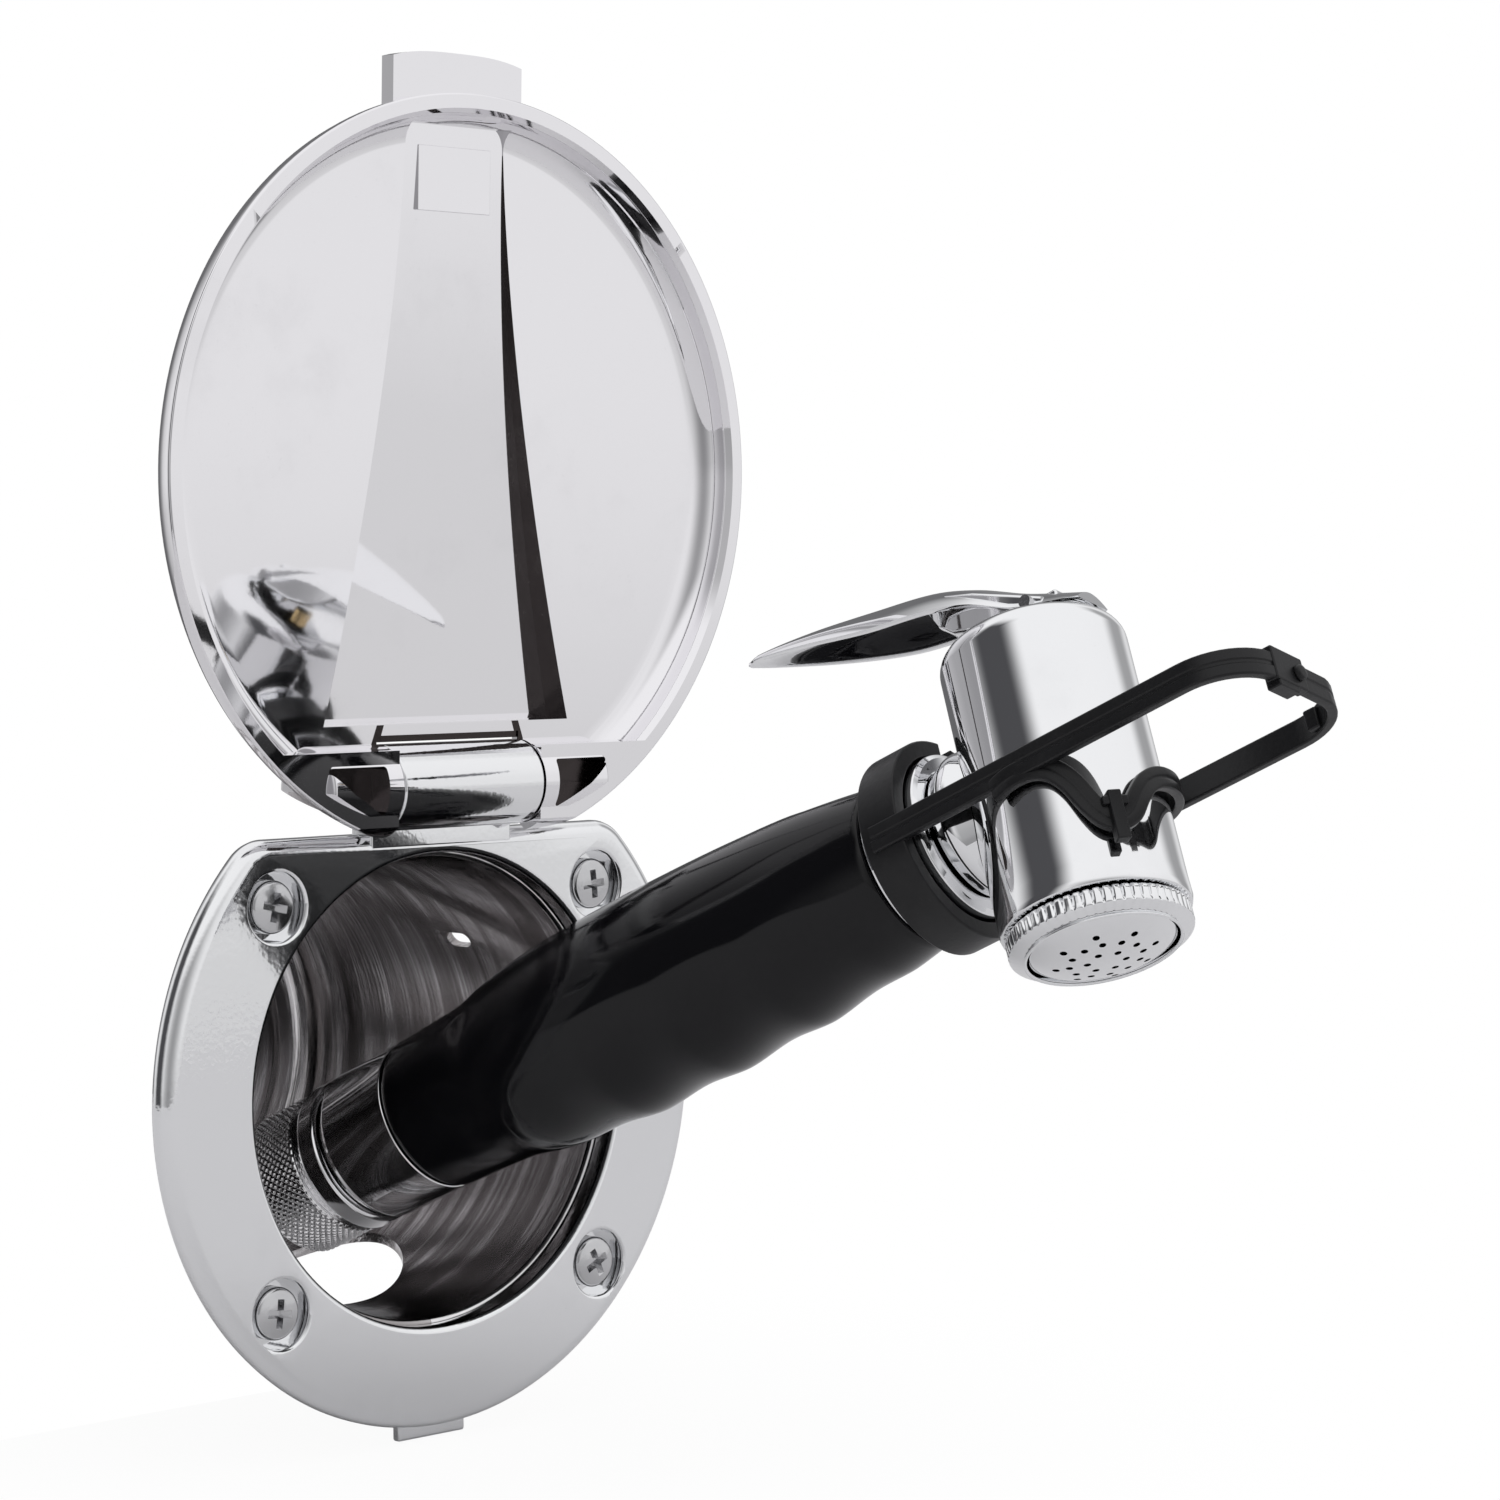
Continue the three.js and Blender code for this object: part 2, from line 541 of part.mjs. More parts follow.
// Height of the wavy strap round the head, in [angle from the front, height] pairs.
const WAVE = [[-96, -5.5], [-80, -5.2], [-64, -6.6], [-51, -14], [-39, -18.4], [-27, -16.6], [-15, -10.6],
  [0, -8.2], [30, -7.4], [62, -5.6], [94, -4.2]];
const DIP_ANGLE = -39;

// The loop's plan, open at the ring.
function loopPlan(half, start, end, corner) {
  const plan = new THREE.Shape();
  plan.moveTo(-half, start);
  plan.lineTo(half, start);
  plan.lineTo(half, end - corner);
  plan.absarc(half - corner, end - corner, corner, 0, Math.PI / 2, false);
  plan.absarc(-half + corner, end - corner, corner, Math.PI / 2, Math.PI, false);
  plan.closePath();
  return plan;
}

// A plan drawn along the handle, given a height about the clip's middle.
function prism(plan, halfHeight) {
  const geometry = new THREE.ExtrudeGeometry(plan, { depth: 2 * halfHeight, curveSegments: 8, bevelEnabled: false });
  return solid(geometry.translate(0, 0, -halfHeight)).rotate([QUARTER, 0, 0]).translate([0, CLIP_RISE, 0]);
}

function clip() {
  const ringInner = 15.3 + GAP;
  const ringOuter = ringInner + 3;
  const split = THREE.MathUtils.degToRad(12);
  const from = Math.PI / 2 + 0.05;
  const ring = strip(36, (s, side, rise) => {
    const a = from + s * (2 * Math.PI - split);
    const r = side > 0 ? ringInner : ringOuter;
    return [r * Math.cos(a), r * Math.sin(a), rise > 0 ? 119.6 : 127.6];
  });
  const outer = prism(loopPlan(LOOP_HALF + STRAP_T / 2, LOOP_START, LOOP_END, LOOP_CORNER), STRAP_HALF);
  const inner = prism(
    loopPlan(LOOP_HALF - STRAP_T / 2, LOOP_START - 1, LOOP_END - STRAP_T, LOOP_CORNER - STRAP_T), 9,
  );
  const lug = block(-9, 1, CLIP_RISE - 3.3, CLIP_RISE + 3.3, LOOP_END - 1.4, LOOP_END + 1);
  const arms = outer.add(lug).subtract(inner).subtract(rod(ringInner, 100, 130, ROUND));
  const spline = new THREE.SplineCurve(WAVE.map(([angle, rise]) => new THREE.Vector2(angle, rise)));
  const front = strip(44, (s, side, rise) => {
    const point = spline.getPoint(s);
    const a = THREE.MathUtils.degToRad(point.x);
    const r = HEAD_R + 1.2 + (side > 0 ? 0 : STRAP_T);
    return [r * Math.sin(a), point.y + rise * 2.1, HEAD_AT + r * Math.cos(a)];
  });
  const rib = block(-1.2, 1.2, -24.2, -12.6, HEAD_R + 1.4, HEAD_R + 3.8)
    .rotate([0, DIP_ANGLE, 0]).translate([0, 0, HEAD_AT]);
  const pinHole = rod(0.8, LOOP_END - 8, LOOP_END + 4, 12).translate([-5, CLIP_RISE, 0]);
  return arms.add(front).add(rib).add(ring).subtract(pinHole);
}

const clipPin = () => turned([
  [0, LOOP_END - 3], [0.5, LOOP_END - 3], [0.5, LOOP_END + 1.3], [1.6, LOOP_END + 1.3], [1.2, LOOP_END + 2.4],
  [0, LOOP_END + 2.6],
], 12).translate([-5, CLIP_RISE, 0]);

// ---------- assembly ----------
const shower = new THREE.Group();
shower.add(piece("flange_housing", flangeHousing(), chrome()));
shower.add(piece("cup", cup(), steel()));
shower.add(piece("flange_gasket", flangeGasket(), rubber()));
screwPlaces.forEach(([name, x, z], i) => {
  shower.add(piece(name, upright(mountingScrew(35 * i + 20), x, 0, z), steel()));
});
shower.add(piece("hinge_pin", alongX(rod(PIN_R, -30.5, 30.5)).translate([0, HINGE_Y, HINGE_Z]), steel()));

const lid = new THREE.Group();
lid.position.set(0, HINGE_Y, HINGE_Z);
lid.rotation.x = THREE.MathUtils.degToRad(LID_LEAN);
lid.add(piece("lid", lidShell(), chrome()));
lid.add(piece("latch_pad", latchPad(), chrome()));
shower.add(lid);

// The sprayer's frame: yaw about Z, pitch up, then roll about the handle.
const sprayer = new THREE.Group();
sprayer.position.set(...SPRAYER_AT);
const [yaw, pitch, roll] = [SPRAYER_YAW, SPRAYER_PITCH, SPRAYER_ROLL].map(THREE.MathUtils.degToRad);
const along = new THREE.Vector3(
  Math.sin(yaw) * Math.cos(pitch), -Math.cos(yaw) * Math.cos(pitch), Math.sin(pitch));
const level = new THREE.Vector3(Math.cos(yaw), Math.sin(yaw), 0);
const upHead = new THREE.Vector3().crossVectors(along, level).applyAxisAngle(along, -roll);
const sideways = new THREE.Vector3().crossVectors(upHead, along);
sprayer.quaternion.setFromRotationMatrix(new THREE.Matrix4().makeBasis(sideways, upHead, along));

sprayer.add(piece("hose_nut", hoseNut(), steel()));
sprayer.add(piece("hose_washer", hoseWasher(), rubber()));
sprayer.add(piece("inlet_spigot", inletSpigot(), brass()));
sprayer.add(piece("collar", collar(), chrome()));
sprayer.add(piece("grip", grip(), blackGloss()));
sprayer.add(piece("water_tube", waterTube(), brass()));
sprayer.add(piece("end_ring", endRing(), chrome()));
sprayer.add(piece("neck", neck(), chrome()));
sprayer.add(piece("head_body", across(headBody()), chrome()));
sprayer.add(piece("valve_seat", across(valveSeat()), brass()));
sprayer.add(piece("valve_washer", across(valveWasher()), rubber()));
sprayer.add(piece("valve_stem", across(valveStem()), brass()));
sprayer.add(piece("stem_seal", across(stemSeal()), rubber()));
sprayer.add(piece("return_spring", across(returnSpring()), steel()));
sprayer.add(piece("flow_disc", across(flowDisc()), brass()));
sprayer.add(piece("nozzle_ring", across(nozzleRing()), chrome()));
sprayer.add(piece("nozzle_gasket", across(nozzleGasket()), rubber()));
sprayer.add(piece("spray_face", across(sprayFace()), chrome()));
sprayer.add(piece("lever", lever(), chrome()));
sprayer.add(piece("lever_pin", leverPin(), steel()));
sprayer.add(piece("clip", clip(), blackMatt()));
sprayer.add(piece("clip_pin", clipPin(), blackMatt()));
shower.add(sprayer);

export default shower;
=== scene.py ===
# %% [markdown]
# # A recessed transom shower
# A round chrome flange holds a deep metal cup and a lid on a hinge. A hand sprayer leans out of the cup.
# The engineered model is loaded first as a fixed frame: it says where every piece sits and how it moves.
# Everything after that is about looks, so each visible piece is drawn again with finer shapes in its place.

# %% Load the frame
import json
import math

import bmesh
import bpy
from mathutils import Matrix, Vector

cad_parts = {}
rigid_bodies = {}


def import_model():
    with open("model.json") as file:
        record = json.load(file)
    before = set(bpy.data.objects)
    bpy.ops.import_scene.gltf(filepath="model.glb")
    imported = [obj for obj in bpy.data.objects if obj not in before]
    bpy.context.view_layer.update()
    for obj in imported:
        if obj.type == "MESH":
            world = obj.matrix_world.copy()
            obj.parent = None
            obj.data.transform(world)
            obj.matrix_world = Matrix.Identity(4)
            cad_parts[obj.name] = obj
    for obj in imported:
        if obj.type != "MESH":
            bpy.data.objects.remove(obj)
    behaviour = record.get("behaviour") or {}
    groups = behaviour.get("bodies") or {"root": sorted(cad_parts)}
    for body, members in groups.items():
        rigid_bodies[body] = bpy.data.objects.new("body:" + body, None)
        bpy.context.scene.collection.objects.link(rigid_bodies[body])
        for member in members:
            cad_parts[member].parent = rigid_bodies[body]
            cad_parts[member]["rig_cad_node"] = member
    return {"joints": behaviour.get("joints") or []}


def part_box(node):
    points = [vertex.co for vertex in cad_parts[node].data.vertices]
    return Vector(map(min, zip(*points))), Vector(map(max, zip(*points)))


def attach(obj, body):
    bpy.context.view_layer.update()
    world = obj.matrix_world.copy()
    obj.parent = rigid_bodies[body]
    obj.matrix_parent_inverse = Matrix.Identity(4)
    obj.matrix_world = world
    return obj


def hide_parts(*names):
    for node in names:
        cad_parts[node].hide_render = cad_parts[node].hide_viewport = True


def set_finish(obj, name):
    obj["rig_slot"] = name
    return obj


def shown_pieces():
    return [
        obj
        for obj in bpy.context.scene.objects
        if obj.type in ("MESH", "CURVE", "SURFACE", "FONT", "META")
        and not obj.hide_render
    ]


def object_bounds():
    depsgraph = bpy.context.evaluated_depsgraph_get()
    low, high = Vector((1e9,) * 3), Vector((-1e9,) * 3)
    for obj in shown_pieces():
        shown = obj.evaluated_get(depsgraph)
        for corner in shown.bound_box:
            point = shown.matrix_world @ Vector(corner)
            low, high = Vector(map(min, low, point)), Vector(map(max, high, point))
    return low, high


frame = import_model()
cad_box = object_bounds()
MM = 0.001
print("frame box", [round(c, 4) for c in cad_box[0]], [round(c, 4) for c in cad_box[1]])

# %% [markdown]
# ## Places to work from
# A sprayer that leans at an odd angle is hard to draw in the world's axes. So each group of pieces gets
# axes of its own, taken from the frame's joints, in which a handle is a plain turned form.

# %% Axes of each group
joints = {joint["name"]: joint for joint in frame["joints"]}


def axes(origin, x, y, z):
    """A matrix whose columns are the three axes, with its origin in metres."""
    made = Matrix([x, y, z]).transposed().to_4x4()
    made.translation = Vector(origin)
    return made


def shifted(place, x, y, z):
    """The same axes with the origin moved by x, y and z millimetres."""
    return place @ Matrix.Translation(Vector((x, y, z)) * MM)


sideways = Vector(joints["lever_press"]["axis"])
along = Vector(joints["hose_nut_swivel"]["axis"])
upward = Vector(joints["nozzle_turn"]["axis"])
head_place = Vector(joints["nozzle_turn"]["pos_m"])
HEAD_AT = 150  # millimetres from the foot of the grip to the head's axis
sprayer_axes = axes(head_place - along * HEAD_AT * MM, sideways, upward, along)
head_axes = axes(head_place, sideways, -along, upward)
world_axes = Matrix.Identity(4)
cup_axes = axes((0, 0, 0), (1, 0, 0), (0, 0, -1), (0, 1, 0))
hinge_place = Vector(joints["lid_hinge"]["pos_m"])
hinge_axes = axes(hinge_place, (0, 1, 0), (0, 0, 1), (1, 0, 0))
LEAN = math.radians(1.8)  # the open lid leans this far outboard
lid_axes = Matrix.Translation(hinge_place) @ Matrix.Rotation(LEAN, 4, "X")
lid_barrel_axes = lid_axes @ axes((0, 0, 0), (0, 1, 0), (0, 0, 1), (1, 0, 0))
LID_CENTRE = 56.4
lid_disc_axes = lid_axes @ axes((0, 0, LID_CENTRE * MM), (1, 0, 0), (0, 0, -1), (0, 1, 0))
print("sprayer foot", [round(c, 4) for c in sprayer_axes.translation])

# %% [markdown]
# ## Drawing tools
# Most of this object was turned, cast or moulded. One tool rounds a profile's corners, one turns it round an
# axis, and one stretches a skin over sections. Plain points keep every radius exact; chrome shows any flat spot.

# %% Meshes from points
def placed(name, data):
    """A new object in the scene for a mesh, a light or a camera."""
    made = bpy.data.objects.new(name, data)
    bpy.context.scene.collection.objects.link(made)
    return made


def mesh_object(name, points, faces, place=world_axes):
    """A new object from points in millimetres, in the axes of place."""
    mesh = bpy.data.meshes.new(name)
    mesh.from_pydata([place @ (Vector(point) * MM) for point in points], [], faces)
    mesh.update()
    made = placed(name, mesh)
    face_out(made)
    return made


def face_out(piece):
    """Turns every face of a closed mesh outwards."""
    work = bmesh.new()
    work.from_mesh(piece.data)
    bmesh.ops.recalc_face_normals(work, faces=work.faces)
    work.to_mesh(piece.data)
    work.free()


def rounded(corners, steps=5):
    """A profile with arcs at its corners: each corner is (a, b) or (a, b, radius)."""
    points = []
    count = len(corners)
    for i, corner in enumerate(corners):
        here = Vector(corner[:2])
        radius = corner[2] if len(corner) > 2 else 0
        if radius == 0:
            points.append(tuple(here))
            continue
        before = (Vector(corners[i - 1][:2]) - here).normalized()
        after = (Vector(corners[(i + 1) % count][:2]) - here).normalized()
        half = before.angle(after) / 2
        reach = radius / math.tan(half)
        centre = here + (before + after).normalized() * radius / math.sin(half)
        start = here + before * reach - centre
        sweep = start.angle_signed(here + after * reach - centre)
        for k in range(steps + 1):
            turn = Matrix.Rotation(-sweep * k / steps, 2)
            points.append(tuple(centre + turn @ start))
    return points


# %% Turned and stretched forms
def turned(name, profile, place, sides=96, relief=None):
    """A closed profile of (radius, height) turned round the local Z axis."""
    points, rings = [], []
    for radius, height in profile:
        if radius < 1e-6:
            rings.append([len(points)])
            points.append((0, 0, height))
            continue
        ring = []
        for k in range(sides):
            angle = 2 * math.pi * k / sides
            r = radius + (relief(angle, radius, height) if relief else 0)
            ring.append(len(points))
            points.append((r * math.cos(angle), r * math.sin(angle), height))
        rings.append(ring)
    faces = []
    for lower, upper in zip(rings, rings[1:] + rings[:1]):
        if len(lower) == 1 and len(upper) == 1:
            continue
        for k in range(sides):
            n = (k + 1) % sides
            if len(lower) == 1:
                faces.append((lower[0], upper[n], upper[k]))
            elif len(upper) == 1:
                faces.append((lower[k], lower[n], upper[0]))
            else:
                faces.append((lower[k], lower[n], upper[n], upper[k]))
    return mesh_object(name, points, faces, place)


def stretched(name, sections, place=world_axes):
    """A skin over sections that all have the same number of points, with both ends shut."""
    count = len(sections[0])
    points = [point for section in sections for point in section]
    faces = []
    for s in range(len(sections) - 1):
        a, b = s * count, (s + 1) * count
        for k in range(count):
            n = (k + 1) % count
            faces.append((a + k, a + n, b + n, b + k))
    faces.append(tuple(range(count)))
    faces.append(tuple(len(points) - count + k for k in range(count)))
    return mesh_object(name, points, faces, place)


def slab(name, low, high, place=world_axes, soften=0.0):
    """A box between two corners, with softened edges."""
    work = bmesh.new()
    bmesh.ops.create_cube(work, size=1)
    for vert in work.verts:
        vert.co = Vector([(lo + hi) / 2 + c * (hi - lo) for c, lo, hi in zip(vert.co, low, high)])
    if soften > 0:
        bmesh.ops.bevel(work, geom=work.edges[:], offset=soften, segments=3, profile=0.5, affect="EDGES")
    mesh = bpy.data.meshes.new(name)
    bmesh.ops.scale(work, vec=(MM, MM, MM), verts=work.verts)
    bmesh.ops.transform(work, matrix=place, verts=work.verts)
    work.to_mesh(mesh)
    work.free()
    made = placed(name, mesh)
    face_out(made)
    return made


def prism(name, outline, depth_low, depth_high, place):
    """An outline in local X and Z, carried along local Y."""
    front = [(x, depth_low, z) for x, z in outline]
    back = [(x, depth_high, z) for x, z in outline]
    return stretched(name, [front, back], place)


# %% Join, cut and finish
def combined(base, others, operation):
    """base joined with, cut by or kept inside the other solids, which are used up."""
    for other in others:
        change = base.modifiers.new("shape", "BOOLEAN")
        change.operation = operation
        change.solver = "EXACT"
        change.object = other
    bpy.context.view_layer.update()
    seen = base.evaluated_get(bpy.context.evaluated_depsgraph_get())
    mesh = bpy.data.meshes.new_from_object(seen)
    base.modifiers.clear()
    base.data = mesh
    for other in others:
        bpy.data.objects.remove(other)
    return base


def gathered(base, others):
    """Adds the meshes of other objects to base as they are."""
    work = bmesh.new()
    work.from_mesh(base.data)
    for other in others:
        work.from_mesh(other.data)
        bpy.data.objects.remove(other)
    work.to_mesh(base.data)
    work.free()
    return base


def smooth(piece, sharp_above=32):
    """Smooth shading that stops at sharp edges, and flat faces that stay flat."""
    mesh = piece.data
    mesh.polygons.foreach_set("use_smooth", [True] * len(mesh.polygons))
    mesh.set_sharp_from_angle(angle=math.radians(sharp_above))
    even = piece.modifiers.new("even_normals", "WEIGHTED_NORMAL")
    even.keep_sharp = True
    even.mode = "FACE_AREA"
    even.weight = 90


def settle(piece, body, slot, nodes, sharp_above=32):
    """Finishes a piece and lets it stand for its nodes in the frame."""
    smooth(piece, sharp_above)
    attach(piece, body)
    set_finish(piece, slot)
    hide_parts(*nodes)
    print(piece.name, len(piece.data.polygons), "faces")
    return piece


# %% [markdown]
# ## Flange
# The flange is a casting with a flat face, a bullnose edge, a flat top and four deep screw recesses.
# Holes cut out of a plate would leave ragged shading round them. So the flat faces are filled between clean
# rings, and rounded walls grow from the same rings.

# %% Flange outline
FLANGE_R = 63.5
FLANGE_RISE = 1.3
FLANGE_TOP = 46.5
FLANGE_CORNER = 9.0


def flange_rim(inset):
    """The flange's outline moved in by inset, as (x, z) points."""
    inner = FLANGE_R - FLANGE_CORNER
    rise = FLANGE_TOP - FLANGE_CORNER
    reach = math.sqrt(inner**2 - rise**2)
    turn = math.atan2(rise, reach)
    arcs = [
        (reach, rise, FLANGE_CORNER, turn, math.pi / 2, 12),
        (-reach, rise, FLANGE_CORNER, math.pi / 2, math.pi - turn, 12),
        (0, 0, FLANGE_R, math.pi - turn, 2 * math.pi + turn, 150),
    ]
    outline = []
    for cx, cz, radius, start, end, steps in arcs:
        for k in range(steps):
            angle = start + (end - start) * (k + 0.5) / steps
            x = cx + (radius - inset) * math.cos(angle)
            outline.append((x, cz + FLANGE_RISE + (radius - inset) * math.sin(angle)))
    return outline


def circle(cx, cz, radius, sides):
    """Points of a circle in X and Z."""
    angles = [2 * math.pi * k / sides for k in range(sides)]
    return [(cx + radius * math.cos(a), cz + radius * math.sin(a)) for a in angles]


# %% Flange casting
# Profiles as (inset or radius, y), from the front face at y -8 to the back at y -1.5.
EDGE = [
    (3.0, -8.0), (2.3, -7.93), (1.65, -7.72), (1.05, -7.35), (0.55, -6.85), (0.2, -6.25), (0.0, -5.5),
    (0.0, -4.7), (0.25, -3.9), (0.8, -3.1), (1.7, -2.3), (3.0, -1.5),
]
MOUTH = [
    (44.9, -8.0), (44.5, -7.92), (44.1, -7.7), (43.82, -7.35), (43.66, -6.9), (43.66, -4.0),
    (46.1, -4.0), (46.1, -1.5),
]
RECESS = [
    (7.0, -8.0), (6.75, -7.93), (6.5, -7.75), (6.38, -7.45), (6.35, -7.1), (6.35, -4.4),
    (2.7, -4.4), (2.7, -1.5),
]
screw_names = ["screw_" + where for where in ("top_left", "top_right", "bottom_left", "bottom_right")]
screw_places = []
for node in screw_names:
    low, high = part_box(node)
    middle = (low + high) / 2 / MM
    screw_places.append((middle.x, middle.z))


def casting(name):
    """The flange's plate: walls grown as strips, then both flat faces filled between their rings."""
    work = bmesh.new()
    fronts, backs = [], []

    def wall(rings):
        rows = [[work.verts.new(Vector((x, y, z)) * MM) for x, z in ring] for ring, y in rings]
        for lower, upper in zip(rows, rows[1:]):
            for k in range(len(lower)):
                n = (k + 1) % len(lower)
                work.faces.new((lower[k], lower[n], upper[n], upper[k]))
        fronts.append(rows[0])
        backs.append(rows[-1])

    wall([(flange_rim(inset), y) for inset, y in EDGE])
    wall([(circle(0, 0, radius, 144), y) for radius, y in MOUTH])
    for x, z in screw_places:
        wall([(circle(x, z, radius, 48), y) for radius, y in RECESS])
    for loops in (fronts, backs):
        edges = []
        for loop in loops:
            for k, vert in enumerate(loop):
                edges.append(work.edges.get((vert, loop[(k + 1) % len(loop)])))
        bmesh.ops.triangle_fill(work, use_beauty=True, edges=edges)
    mesh = bpy.data.meshes.new(name)
    bmesh.ops.recalc_face_normals(work, faces=work.faces)
    work.to_mesh(mesh)
    work.free()
    return placed(name, mesh)


flange = casting("flange")
KNUCKLE_HALF = 16.75
BARREL_R = 7.8
BORE_R = 2.5
ROOT_HALF = 16.6
knuckle = turned("knuckle", rounded([
    (BORE_R, -KNUCKLE_HALF), (BARREL_R, -KNUCKLE_HALF, 0.5), (BARREL_R, KNUCKLE_HALF, 0.5),
    (BORE_R, KNUCKLE_HALF)]), hinge_axes, 96)
root = slab("root", (-ROOT_HALF - 0.25, -8.04, 45), (ROOT_HALF + 0.25, -2.4, 49.4), soften=0.45)
root_back = slab("root_back", (-ROOT_HALF, -11.6, 48.4), (ROOT_HALF, -2.6, 56), soften=0.6)
catch = slab("catch", (-8, -3.5, -64.7), (8, -1.6, -57), soften=0.5)
gathered(flange, [knuckle, root, root_back, catch])
settle(flange, "housing", "flange_chrome", ["flange_housing"])

# %% [markdown]
# ## Cup
# The cup is spun from thin sheet, so one turned profile gives both faces of the sheet. The handle hole and the
# vent are cut through the wall, and two small dimples are pushed in by moving the nearby points.

# %% Spun cup
CUP_R = 42.8
SHEET = 1.5
CUP_BACK = 84
CUP_FRONT = -3.7
cup_profile = rounded([
    (45.7, CUP_FRONT, 0.4), (CUP_R, CUP_FRONT, 0.9), (CUP_R, 20), (CUP_R, 50), (CUP_R, CUP_BACK, 5.6),
    (34.5, CUP_BACK, 1.6), (31.0, CUP_BACK - 3.0, 1.4), (0, CUP_BACK - 3.0), (0, CUP_BACK - 3.0 + SHEET),
    (30.4, CUP_BACK - 3.0 + SHEET, 1.4), (33.9, CUP_BACK + SHEET, 1.6), (CUP_R + SHEET, CUP_BACK + SHEET, 7),
    (CUP_R + SHEET, 40), (CUP_R + SHEET, CUP_FRONT + SHEET, 0.5), (45.7, CUP_FRONT + SHEET, 0.4),
], 7)
cup = turned("cup_shell", cup_profile, cup_axes, 160)
HOLE_Y = 42
HOLE_R = 22
HOLE_SHIFT = 3
VENT_Y = 29
DIMPLES = (((22.5, 32.6, 37.8), 2.2), ((0.4, 9.7, -44), 2.4))  # (centre, depth)
DIMPLE_REACH = 6
DIMPLE_SPREAD = 2.6


def stadium(half_length, radius, sides=40):
    """An outline of two half circles joined by straight sides."""
    outline = []
    for side, start in ((1, -math.pi / 2), (-1, math.pi / 2)):
        for k in range(sides + 1):
            angle = start + math.pi * k / sides
            outline.append((side * half_length + radius * math.cos(angle), radius * math.sin(angle)))
    return outline


hole = stretched("hole", [[(x, HOLE_Y + y, z) for x, y in stadium(HOLE_SHIFT, HOLE_R)] for z in (-60, -30)])
vent_axes = shifted(world_axes, 0, VENT_Y, 0) @ Matrix.Rotation(math.radians(57), 4, "Y")
vent = stretched("vent", [[(y, x, z) for x, y in stadium(1.6, 1.7, 10)] for z in (30, 60)], vent_axes)
combined(cup, [hole, vent], "DIFFERENCE")
for centre, inward in DIMPLES:
    dimple = Vector(centre) * MM
    for vert in cup.data.vertices:
        apart = (vert.co - dimple).length / MM
        if apart < DIMPLE_REACH:
            pull = inward * math.exp(-((apart / DIMPLE_SPREAD) ** 2)) * MM
            vert.co -= Vector((vert.co.x, 0, vert.co.z)).normalized() * pull
settle(cup, "housing", "cup_steel", ["cup"])

# %% [markdown]
# ## Screws
# Each is a turned pan head with a cross recess cut by two tapered bars, left at the angle it was driven to.

# %% Mounting screws
SCREW_HEAD_R = 4.8
SHANK_R = 2.35
for (x, z), node, angle in zip(screw_places, screw_names, (12, 84, 6, 64)):
    screw_axes = shifted(world_axes, x, 0, z) @ cup_axes @ Matrix.Rotation(math.radians(angle), 4, "Z")
    screw = turned(node + "_head", rounded([
        (0, -7.5), (2.6, -7.42), (SCREW_HEAD_R, -6.9, 0.9), (SCREW_HEAD_R, -4.6, 0.2),
        (SHANK_R, -4.6), (SHANK_R, 19), (0, 23.5)]), screw_axes, 48)
    bars = []
    for k in range(2):
        bar_axes = screw_axes @ Matrix.Rotation(k * math.pi / 2, 4, "Z")
        wide = [(-3.3, -0.85, -8.2), (3.3, -0.85, -8.2), (3.3, 0.85, -8.2), (-3.3, 0.85, -8.2)]
        deep = [(-1.3, -0.4, -5.6), (1.3, -0.4, -5.6), (1.3, 0.4, -5.6), (-1.3, 0.4, -5.6)]
        bars.append(stretched("bar", [wide, deep], bar_axes))
    combined(screw, bars, "DIFFERENCE")
    settle(screw, "housing", "screw_steel", [node])

# %% [markdown]
# ## Lid
# The lid is a shallow dish with a flat rim and a long tapering recess, and its root forms two ears round the
# hinge pin. It is built as a pattern maker would: solids are joined, then hollows are cut, so edges stay crisp.

# %% Lid solids
LID_R = 68.5
LID_FACE = -6.3
DISH_R = 64.9
DISH_FLOOR = 0.2
LID_BACK = 1.9
EAR_END = 33
SLOT_HALF = 17.05
RECESS_LOW, RECESS_HIGH = 11.2, 119.4


def recess_half(s):
    """Half the width of the lid's tapering recess, at s from 0 by the hinge to 1 at its top."""
    return 12 + 17.5 * (1 - s) ** 1.6


lid = turned("lid_pan", rounded([
    (0, LID_FACE), (LID_R, LID_FACE, 0.4), (LID_R, LID_BACK, 7.5), (0, LID_BACK)], 9), lid_disc_axes, 192)


def wedge(name, grow, mouth, lift):
    """The tapering recess up the middle of the lid, deepest next to the hinge."""
    low, high = RECESS_LOW - grow, RECESS_HIGH + grow
    sections = []
    for k in range(25):
        s = k / 24
        z = low + (high - low) * s
        half = grow + recess_half(s)
        floor = DISH_FLOOR + lift + 5.4 * (1 - s) ** 1.1
        foot = half - 0.4
        sections.append([(-half, mouth, z), (half, mouth, z), (foot, floor, z), (-foot, floor, z)])
    return stretched(name, sections, lid_axes)


def thumb_tab():
    """The tab that stands out past the rim at the top."""
    top, half = LID_CENTRE + LID_R + 7.5, 15.3
    outline = [(half * k / 8, top - 0.9 * (abs(k) / 8) ** 3 * 1.6) for k in range(8, -9, -1)]
    return prism("tab", [(-half, top - 14), (half, top - 14)] + outline, -0.6, 2.6, lid_axes)


